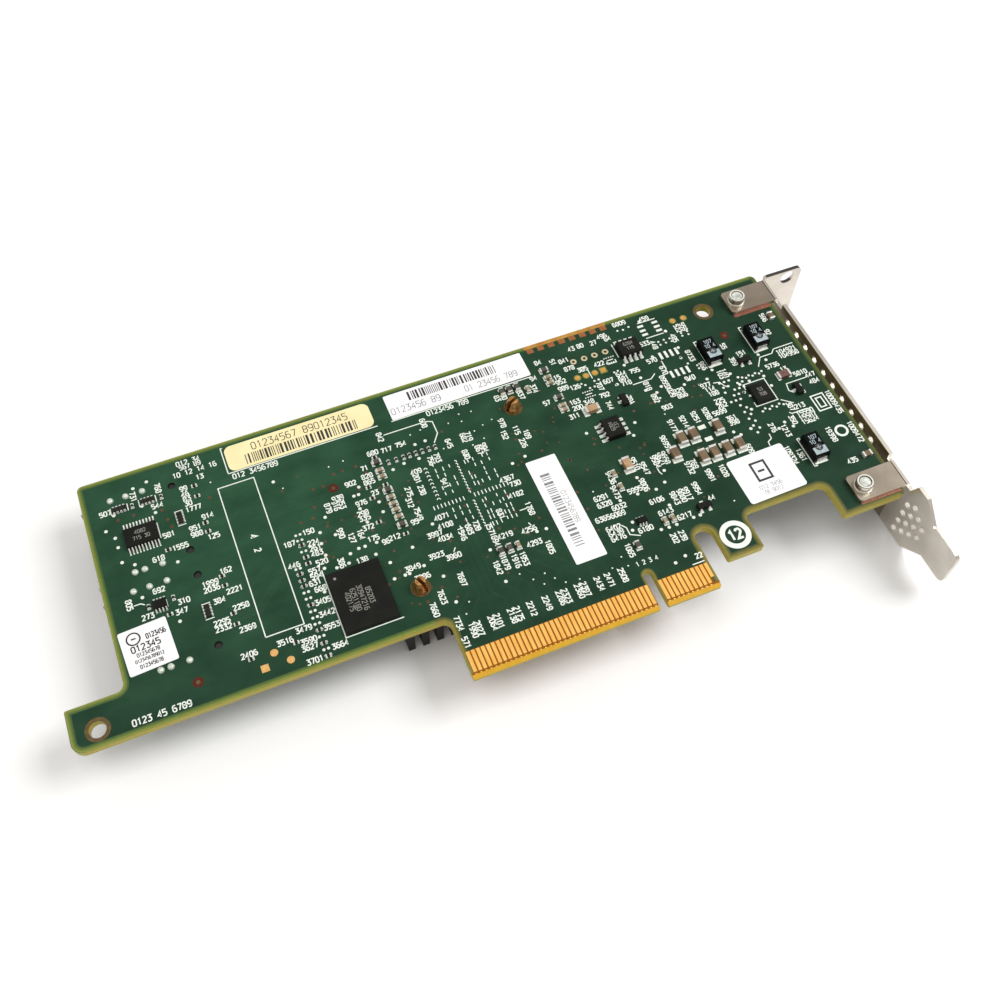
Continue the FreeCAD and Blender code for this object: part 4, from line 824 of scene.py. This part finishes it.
# vias under the controller: short dashes in rows and a column of small curls
viaLook = {"left": -33.3, "low": 29.4, "pitch": 0.8, "middle": (-25.4, 37.2), "gap": 0.7, "rowGap": 1.2,
           "dashes": 21, "dash": (0.2, 0.95), "curls": 22, "curl": (0.34, 0.16), "sideCurls": 9,
           "sideCurl": (0.4, 0.22), "rows": 13, "rowPitch": 1.45, "share": 0.72,
           "columns": (-30.0, -28.4, -26.9, -23.6, -22.9, -21.8, -20.4, -19.6, -18.6)}
middleX, middleY = viaLook["middle"]
vias = work(1, 0.02)
for k in range(viaLook["dashes"]):
    x = viaLook["left"] + viaLook["pitch"] * k
    if abs(x - middleX) > viaLook["gap"]:
        vias.rect(x, middleY, *viaLook["dash"])
for k in range(viaLook["curls"]):
    y = viaLook["low"] + viaLook["pitch"] * k
    if abs(y - middleY) > viaLook["gap"]:
        vias.ring(middleX + 0.1, y, *viaLook["curl"], 8, -70, 190)
for k in range(viaLook["sideCurls"]):
    vias.ring(-31.7, 38.8 + 0.98 * k, *viaLook["sideCurl"], 8, -20, 200)
for x in viaLook["columns"]:
    for k in range(viaLook["rows"]):
        y = viaLook["low"] + viaLook["rowPitch"] * k + 0.35 * random.random()
        if abs(y - middleY) > viaLook["rowGap"] and random.random() < viaLook["share"]:
            vias.rect(x + 0.15 * random.random(), y, viaLook["dash"][0], 0.75 + 0.3 * random.random())
vias.make("controller_vias", "white_ink")

coveredLook = {"count": 150, "across": (-62, 30), "up": (16, 57), "thick": (28, 46), "radius": (0.2, 0.34),
               "round": 0.36, "height": 0.008}
coveredPlaces = (
    (-54.6, 50.6), (-52.4, 50.6), (-49.6, 52.6), (-47.7, 52.7), (-44.8, 52.7), (-59.2, 44.0), (-56.6, 44.1),
    (-55.6, 46.5), (-92.8, 58.2), (-89.7, 58.2), (-84.2, 57.3), (-83.2, 52.8), (-83.6, 54.7), (-74.6, 56.6),
)
covered = work(1, coveredLook["height"])
for k in range(coveredLook["count"]):  # every third one where they lie thicker
    x = random.uniform(*coveredLook["across"])
    y = random.uniform(*coveredLook["up" if k % 3 else "thick"])
    covered.disc(x, y, random.uniform(*coveredLook["radius"]), 10)
for x, y in coveredPlaces:
    covered.disc(x, y, coveredLook["round"], 10)
covered.make("covered_vias", "via_mark")

aimingPlaces = ((-50.7, 49.4), (-86.4, 18.5), (42.7, 55.3))
goldPlaces = ((-71.9, 18.9), (-69.4, 16.4))
dullPlaces = ((7.2, 56.6), (9.2, 56.5), (11.3, 56.5), (33.8, 63.4), (36.5, 63.3))
padGroups = {  # piece: finish, slot, height, round ones (places, radius, sides), square ones (x, y, width)
    "aiming_marks": ("red_mark", "board", 0.02, (aimingPlaces, 1.05, 28), ()),
    "aiming_spots": ("ring_copper", "board", 0.03, (aimingPlaces, 0.42, 16), ()),
    "gold_pads": ("gold_pad", "gold", 0.03, (goldPlaces, 0.75, 24), ((-74.3, 16.5, 1.5),)),
    "dull_pads": ("dull_gold", "gold", 0.03, (dullPlaces, 0.64, 24), ((13.3, 56.5, 1.3),)),
    "pad_halos": ("rim_third", "board", 0.016, (dullPlaces, 0.86, 24), ((13.3, 56.5, 1.75),)),
}
for name, (finish, slot, height, (places, radius, sides), squares) in padGroups.items():
    pads = work(1, height)
    for x, y in places:
        pads.disc(x, y, radius, sides)
    for x, y, width in squares:
        pads.rect(x, y, width, width)
    pads.make(name, finish, slot)
paleRingLook = {"xs": (8.2, 10.8, 13.3, 15.9), "y": 61.0, "outer": 0.72, "inner": 0.34}
paleRings = work(1, 0.03)
for x in paleRingLook["xs"]:
    paleRings.ring(x, paleRingLook["y"], paleRingLook["outer"], paleRingLook["inner"], 24)
paleRings.make("pale_rings", "pale_ring", "solder")

stripLook = {"place": (9.3, 68.42, 19.8, 0.92), "pads": 8, "first": 0.5, "pitch": 2.54,
             "pad": (67.3, 1.5, 1.2)}
strip = work(1, 0.02)
strip.rect(*stripLook["place"])
strip.make("edge_strip", "orange_edge")
stripPads = work(1, 0.03)
for k in range(stripLook["pads"]):
    stripPads.rect(stripLook["first"] + stripLook["pitch"] * k, *stripLook["pad"])
stripPads.make("edge_strip_pads", "strip_copper", "copper")

# narrow tips that run from the contacts on to the bevel
tipLook = {"width": 0.36, "start": 1.32, "end": 0.86, "bevelStart": 1.2, "slope": 0.375, "lift": 0.014,
           "depth": 0.03}
tipSides = ((0, 2, 6, 4), (1, 5, 7, 3), (0, 4, 5, 1), (2, 3, 7, 6), (4, 6, 7, 5), (0, 1, 3, 2))
contactTips = bmesh.new()
for (x0, x1), (y0, y1), (z0, z1) in looseBoxes("edge_contacts"):
    if y0 > tipLook["bevelStart"] + 0.5:  # a short contact
        continue
    facing = 1 if z1 > otherFace / 2 else -1
    corners = []
    for y in (tipLook["start"], tipLook["end"]):
        fall = max(tipLook["bevelStart"] - y, 0.0) * tipLook["slope"]
        top = -fall + tipLook["lift"] if facing > 0 else otherFace + fall - tipLook["lift"]
        for x in ((x0 + x1 - tipLook["width"]) / 2, (x0 + x1 + tipLook["width"]) / 2):
            for z in (top, top - facing * tipLook["depth"]):
                corners.append(contactTips.verts.new((x * mm, y * mm, z * mm)))
    for side in tipSides:
        contactTips.faces.new([corners[i] for i in (side if facing < 0 else side[::-1])])
addPiece("contact_tips", contactTips, "gold")
print("board: print and pads")


# solder lands under the parts

landLook = {"margin": 0.16, "height": 0.045}
landMargins = {"large_capacitor_ends": 0.35, "tantalum_capacitor_straps": 0.35, "driver_chip_leads": 0.02,
               "small_logic_chip_leads": 0.06, "tiny_resistor_ends": 0.1, "resistor_array_ends": 0.05}
landNodes = ("small_part_ends", "large_capacitor_ends", "tiny_resistor_ends", "resistor_array_ends",
             "shunt_resistor_ends", "transistor_leads", "small_logic_chip_leads", "eight_lead_chip_leads",
             "driver_chip_leads", "tantalum_capacitor_straps")
landRows = (  # bare lands: their xs, their ys, width, height
    ([0.65 * k - 92.12 for k in range(10)], (56.0, 49.9), 0.28, 1.3),  # the long ones of the driver chip
    ((26.3, 29.8), (64.6, 63.3, 62.1), 1.4, 0.6), ((26.8, 28.1, 29.4, 30.7), (55.3, 49.8), 0.6, 1.9),
    ((26.2,), (34.8, 31.6), 1.7, 1.0), ([0.66 * k - 90.25 for k in range(4)], (35.35,), 0.35, 0.8),
)
landDots = (  # xs, ys, radius
    ((-63.15, -62.25), (34.2, 33.0, 31.5, 30.1, 28.7, 27.3, 25.9, 24.4, 23.0, 21.6, 20.2, 18.8, 17.4, 16.0,
                        14.7), 0.3),
    ((-61.0, -60.1), (41.5, 40.2, 38.8, 37.5), 0.28),
)
lands = work(1, landLook["height"])
for node in landNodes:
    for (x0, x1), (y0, y1), (z0, z1) in looseBoxes(node):
        lands.span(x0, x1, y0, y1, landMargins.get(node, landLook["margin"]))
for xs, ys, width, height in landRows:
    for x in xs:
        for y in ys:
            lands.rect(x, y, width, height)
for xs, ys, radius in landDots:
    for y in ys:
        for x in xs:
            lands.disc(x, y, radius, 10)
lands.make("solder_lands", "bright_pad", "solder")

otherLandLook = {"margin": 0.25, "coilInset": 0.3, "coil": (3.4, 1.8)}
otherLands = work(-1, landLook["height"])
for node in ("power_transistor_leads", "polymer_capacitor_straps", "activity_light_ends"):
    for (x0, x1), (y0, y1), (z0, z1) in looseBoxes(node):
        otherLands.span(x0, x1, y0, y1, otherLandLook["margin"])
for (x0, x1), (y0, y1), (z0, z1) in looseBoxes("power_inductors"):
    for y in (y0 + otherLandLook["coilInset"], y1 - otherLandLook["coilInset"]):
        otherLands.rect((x0 + x1) / 2, y, *otherLandLook["coil"])
otherLands.make("component_face_lands", "solder", "solder")

# solder domes over the legs of the ports
domeLook = {"radius": 0.68, "height": 0.55, "rings": 6, "sides": 20, "round": 0.86}
domes = bmesh.new()
for (x0, x1), (y0, y1), (z0, z1) in looseBoxes("port_solder_joints"):
    if z1 < 0.1:  # on the component face
        continue
    rows = []
    for ring in range(domeLook["rings"]):
        turn = math.pi / 2 * ring / (domeLook["rings"] - 1)
        radius = domeLook["radius"] * math.cos(turn * domeLook["round"])
        row = []
        for i in range(domeLook["sides"]):
            angle = 2 * math.pi * i / domeLook["sides"]
            row.append(domes.verts.new((((x0 + x1) / 2 + radius * math.cos(angle)) * mm,
                                        ((y0 + y1) / 2 + radius * math.sin(angle)) * mm,
                                        domeLook["height"] * math.sin(turn) * mm)))
        rows.append(row)
    for low, high in zip(rows, rows[1:]):
        for i in range(domeLook["sides"]):
            domes.faces.new((low[i - 1], low[i], high[i], high[i - 1]))
    domes.faces.new(rows[-1])
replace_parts(addPiece("solder_domes", domes, "solder", True), "port_solder_joints")
print("solder: lands and domes")


# bracket: painted highlight rings on the two collars' rims, raised rings for the collars' flared feet in the
# same painted highlight, and its vents where the light shows through them
collarLook = {"places": ((49.5, 9.0), (49.5, 62.8)), "top": 2.66, "height": 0.02, "outer": 1.66,
              "inner": 1.38, "footOuter": 1.92, "footInner": 1.56, "footHeight": 0.3, "sides": 40}
tabTop = max((face for face in nodes["bracket"].data.polygons if face.normal.z > 0.99),
             key=lambda face: face.area).center.z / mm
collarParts = {  # piece: from and to height, outer and inner radius
    "collar_rims": (collarLook["top"] - 0.01, collarLook["top"] + collarLook["height"], "outer", "inner"),
    "collar_feet": (tabTop - 0.02, tabTop + collarLook["footHeight"], "footOuter", "footInner"),
}
for name, (low, high, outer, inner) in collarParts.items():
    collars = FlatWork(low, high)
    for x, y in collarLook["places"]:
        collars.ring(x, y, collarLook[outer], collarLook[inner], collarLook["sides"])
    collars.make(name, "highlight_steel", "bracket_steel")

# shift: lower and nearer to the board; closed: columns that lose their top vent
ventLook = {"x": 59.0, "first": 54.4, "step": 1.925, "columns": 23, "rows": 4, "top": -2.2, "pitch": 3.05,
            "radius": 0.9, "shift": (-0.65, 1.2), "closed": (20, 22)}


def ventRim(verts, y, z):
    return [vert for vert in verts if math.hypot(vert.co.y / mm - y, vert.co.z / mm - z) < ventLook["radius"]]


bracketMesh = bmesh.new()
bracketMesh.from_mesh(nodes["bracket"].data)
bmesh.ops.remove_doubles(bracketMesh, verts=bracketMesh.verts, dist=1e-6)
plateVerts = [vert for vert in bracketMesh.verts if abs(vert.co.x / mm - ventLook["x"]) < 1.0]
closing = []
for column in range(ventLook["columns"]):
    for row in range(ventLook["rows"]):
        y = ventLook["first"] - ventLook["step"] * column
        z = ventLook["top"] - ventLook["pitch"] * (row + (column % 2) / 2)
        rim = ventRim(plateVerts, y, z)
        for vert in rim:
            vert.co += Vector((0, *ventLook["shift"])) * mm
        plateVerts = [vert for vert in plateVerts if vert not in rim]
        if row == 0 and column in ventLook["closed"]:
            closing.append(rim)
for rim in closing:
    middle = sum((vert.co.x for vert in rim), 0.0) / len(rim)
    for group in ([v for v in rim if v.co.x < middle], [v for v in rim if v.co.x > middle]):
        centre = sum((v.co for v in group), Vector()) / len(group)
        bmesh.ops.pointmerge(bracketMesh, verts=group, merge_co=centre)
bmesh.ops.dissolve_degenerate(bracketMesh, dist=1e-6, edges=bracketMesh.edges)
looseEdges = [edge for edge in bracketMesh.edges if not edge.link_faces]
bmesh.ops.delete(bracketMesh, geom=looseEdges, context="EDGES")
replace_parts(addPiece("bracket_plate", bracketMesh, "bracket_steel"), "bracket")
print("bracket: rims and vents")


# chips

def topOf(node):
    return max(box[2][1] for box in looseBoxes(node))


def markWork(height):
    return FlatWork(height - 0.01, height + 0.008)


chipMarks = {  # chip: height, weight and spread of its figures, then each row's figures, middle and angle
    "flash_memory_chip": (0.95, 0.15, 1.05, (
        ("402175", -55.6, 23.2, -90), ("6251180", -54.4, 23.2, -90), ("30947216", -53.0, 23.2, -90),
        ("85203", -51.5, 23.2, -90))),
    "driver_chip": (0.8, 0.16, 1.0, (("4082", -89.2, 53.5, 0), ("715 30", -89.2, 52.1, 0))),
    "eight_lead_chips": (0.8, 0.16, 1.0, (
        ("6204", 20.9, 60.2, 0), ("119", 20.9, 58.9, 0), ("6204", 8.0, 41.2, 90), ("131", 9.1, 41.2, 90))),
    "regulator_chip": (0.8, 0.16, 1.0, (("53", 42.2, 38.6, 0), ("708", 42.2, 37.3, 0))),
}
firstLead = {"flash_memory_chip": (-56.8, 28.9, 0.3, 12)}  # a round mark at its corner
for node, (height, weight, spread, rows) in chipMarks.items():
    marks = markWork(topOf(node))
    for figures, x, y, angle in rows:
        marks.digits(figures, x, y, height, angle, weight, spread)
    if node in firstLead:
        marks.disc(*firstLead[node])
    marks.make(node.rstrip("s") + "_marks", "grey_mark", "chip_black")

# two capacitors beside the bracket
edgeCapacitorLook = {"places": ((54.95, 56.2, 1.2, 2.0), (54.85, 15.7, 2.0, 1.2)), "height": 0.9, "end": 0.42,
                     "round": 0.08, "proud": 0.03}


def softBox(mesh, low, high, rounding):  # a box with rounded edges between two corners
    verts = bmesh.ops.create_cube(mesh, size=1.0)["verts"]
    for vert in verts:
        vert.co = [(high[i] if vert.co[i] > 0 else low[i]) * mm for i in range(3)]
    edges = list({edge for vert in verts for edge in vert.link_edges})
    bmesh.ops.bevel(mesh, geom=verts + edges, offset=rounding * mm, segments=2, profile=0.5, affect="EDGES")


capacitorCases, capacitorEnds = bmesh.new(), bmesh.new()
for x, y, width, length in edgeCapacitorLook["places"]:
    top, end = edgeCapacitorLook["height"], edgeCapacitorLook["end"]
    proud, rounding = edgeCapacitorLook["proud"], edgeCapacitorLook["round"]
    run = 0 if width > length else 1  # the axis from end to end
    middle, half = Vector((x, y)), Vector((width / 2, length / 2))
    inset = half.copy()
    inset[run] -= end / 2
    softBox(capacitorCases, (*(middle - inset), 0.02), (*(middle + inset), top), rounding)
    for way in (-1, 1):
        cap = middle.copy()
        cap[run] += way * (half[run] - end / 2)
        reach = half + Vector((proud, proud))
        reach[run] = end / 2
        softBox(capacitorEnds, (*(cap - reach), 0.0), (*(cap + reach), top + proud), rounding)
addPiece("edge_capacitors", capacitorCases, "brown_ceramic")
addPiece("edge_capacitor_ends", capacitorEnds, "tinned_leads")

# band, plus sign and figures on each tantalum capacitor
tantalumLook = {"band": 1.75, "inset": 0.35, "side": 0.25, "sign": 1.95, "disc": 0.85, "plus": (1.0, 0.2),
                "figures": ("107", "10 4"), "first": 1.25, "row": 1.2, "size": 0.9, "weight": 0.18}
tantalumPieces = {  # piece: its finish and how far it stands up
    "bands": ("blue_band", 0.016), "figures": ("blue_band", 0.026), "discs": ("black_ink", 0.022),
    "pluses": ("blue_band", 0.028),
}
tantalumTop = topOf("tantalum_capacitors")
layers = {}
for name, (finish, rise) in tantalumPieces.items():
    layers[name] = FlatWork(tantalumTop - 0.01, tantalumTop + rise)
for (x0, x1), (y0, y1), (z0, z1) in looseBoxes("tantalum_capacitors"):
    x = (x0 + x1) / 2
    start, side = y0 + tantalumLook["inset"], tantalumLook["side"]
    layers["bands"].span(x0 + side, x1 - side, start, start + tantalumLook["band"])
    layers["discs"].disc(x, y0 + tantalumLook["sign"], tantalumLook["disc"], 20)
    for size in (tantalumLook["plus"], tantalumLook["plus"][::-1]):
        layers["pluses"].rect(x, y0 + tantalumLook["sign"], *size)
    for row, figures in enumerate(tantalumLook["figures"]):
        y = y1 - tantalumLook["first"] - tantalumLook["row"] * row
        layers["figures"].digits(figures, x, y, tantalumLook["size"], 0, tantalumLook["weight"])
for name, (finish, rise) in tantalumPieces.items():
    layers[name].make("tantalum_" + name, finish, "tantalum_case")
print("chips: marks and bands")


# labels

barLook = {"widths": (0.5, 0.5, 1.0, 1.4), "gaps": (0.7, 0.7, 1.2)}  # in shares of the pitch


def barRow(flat, x0, x1, y0, y1, pitch, upright=True):  # generic bars of uneven width
    here = x0 if upright else y0
    end = x1 if upright else y1
    while here < end - pitch:
        width = pitch * random.choice(barLook["widths"])
        if upright:
            flat.span(here, here + width, y0, y1)
        else:
            flat.span(x0, x1, here, here + width)
        here += width + pitch * random.choice(barLook["gaps"])


labelTop = topOf("address_label")


def labelWork():
    return FlatWork(labelTop - 0.005, labelTop + 0.008)


labelRows = {  # piece: its ink, then each row's figures, middle, height, angle, weight and spread
    "dark_label_figures": ("black_ink", (("01234567 89012345", -53.0, 65.6, 1.75, 0, 0.1, 0.98),)),
    "label_figures": ("grey_ink", (
        ("0123456 89", -27.9, 62.9, 1.6, 0, 0.1, 0.98), ("01 23456 789", -10.6, 62.9, 1.5, 0, 0.1, 0.95),
        ("0123456789", -7.6, 27.4, 1.05, -90, 0.09, 1.05), ("012 3456", 32.6, 16.7, 0.9, 0, 0.1, 1.0),
        ("78 9012", 32.6, 15.4, 0.9, 0, 0.1, 1.0))),
    "corner_label_figures": ("black_ink", (
        ("0123456", -91.4, 31.2, 1.0, 3, 0.2, 0.75), ("012345", -93.7, 29.3, 1.25, 3, 0.2, 1.05),
        ("012345678", -93.5, 27.9, 0.75, 3, 0.2, 0.9), ("0123456789012", -93.5, 26.7, 0.65, 3, 0.2, 0.9),
        ("012345678", -93.4, 25.4, 0.75, 3, 0.2, 0.9))),
}
labelBars = labelWork()
barRow(labelBars, -65.3, -40.9, 61.6, 64.1, 0.36)
barRow(labelBars, -28.8, -8.2, 64.5, 66.8, 0.34)
labelBars.make("label_bars", "black_ink", "white_paper")
prints = {name: labelWork() for name in labelRows}
barRow(prints["label_figures"], -10.5, -8.5, 18.4, 36.4, 0.42, False)
prints["dark_label_figures"].border(30.9, 34.0, 18.3, 22.6, 0.5)
prints["dark_label_figures"].rect(32.45, 20.45, 1.5, 0.5)
prints["corner_label_figures"].ring(-95.6, 31.4, 1.4, 1.1, 32)
prints["corner_label_figures"].rect(-95.6, 31.4, 0.9, 0.3)
for name, (ink, rows) in labelRows.items():
    for figures, x, y, height, angle, weight, spread in rows:
        prints[name].digits(figures, x, y, height, angle, weight, spread)
    prints[name].make(name, ink, "white_paper")
print("labels")


# floor, light and camera

floorLook = {"size": 6.0, "tones": ((250, 250, 250), (255, 255, 255)), "gap": 0.00005, "pastPads": 0.0015}


def floorFinish():
    finish = Finish("floor_paper")
    color = finish.twoTone(finish.noise(60.0, 2.0), floorLook["tones"])
    skin = finish.node("ShaderNodeBsdfPrincipled", {}, {"Base Color": color, "Roughness": 0.9,
                                                        "Specular IOR Level": 0.1})
    finish.node("ShaderNodeOutputMaterial", {}, {"Surface": skin})
    return finish.material


bracketLow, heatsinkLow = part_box("bracket")[0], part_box("heatsink")[0]
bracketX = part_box("bracket_pads")[1].x + floorLook["pastPads"]
slope = (bracketLow.z - heatsinkLow.z) / (bracketX - heatsinkLow.x)  # it rests on heatsink and bracket
half = floorLook["size"] / 2
floorMesh = bmesh.new()
for x, y in ((-half, -half), (half, -half), (half, half), (-half, half)):
    floorMesh.verts.new((x, y, heatsinkLow.z + slope * (x - heatsinkLow.x) - floorLook["gap"]))
floorMesh.faces.new(floorMesh.verts[:])
floorData = bpy.data.meshes.new("floor")
floorMesh.to_mesh(floorData)
floorMesh.free()
floorData.materials.append(floorFinish())
floor = bpy.data.objects.new("floor", floorData)
bpy.context.scene.collection.objects.link(floor)

lampLook = {
    "key": {"place": (0.675, -0.09, 0.843), "size": 0.5, "power": 6.6},
    "fill": {"place": (-0.396, 0.03, 1.034), "size": 0.6, "power": 2.4},
}
lampTarget = Vector((-0.02, 0.03, 0))
for name, look in lampLook.items():
    lamp = bpy.data.lights.new(name, "AREA")
    lamp.size = look["size"]
    lamp.energy = look["power"]
    lampHolder = bpy.data.objects.new(name, lamp)
    lampHolder.location = look["place"]
    lampHolder.rotation_euler = (lampTarget - lampHolder.location).to_track_quat("-Z", "Y").to_euler()
    bpy.context.scene.collection.objects.link(lampHolder)

skyLook = {"tone": (255, 252, 248), "strength": 0.6}
world = bpy.data.worlds.new("studio")
world.use_nodes = True
bpy.context.scene.world = world
background = world.node_tree.nodes["Background"]
background.inputs["Color"].default_value = tone(*skyLook["tone"])
background.inputs["Strength"].default_value = skyLook["strength"]

cameraLook = {"place": (-65.13, -72.03, 187.85), "target": (-20.25, 34.07, 0.0), "roll": 0.81, "lens": 39.13,
              "sensor": 36.0, "near": 0.01}
camera = bpy.data.cameras.new("camera")
camera.lens = cameraLook["lens"]
camera.sensor_width = cameraLook["sensor"]
camera.clip_start = cameraLook["near"]
place, target = Vector(cameraLook["place"]) * mm, Vector(cameraLook["target"]) * mm
aim = (target - place).normalized()
across = aim.cross(Vector((0, 0, 1))).normalized()
up = across.cross(aim)
roll = math.radians(cameraLook["roll"])
right = across * math.cos(roll) + up * math.sin(roll)
turn = Matrix((right, right.cross(aim), -aim)).transposed().to_4x4()
cameraHolder = bpy.data.objects.new("camera", camera)
cameraHolder.matrix_world = Matrix.Translation(place) @ turn
bpy.context.scene.collection.objects.link(cameraHolder)
bpy.context.scene.camera = cameraHolder
bpy.context.scene.view_settings.view_transform = "Standard"
print("floor, light and camera")
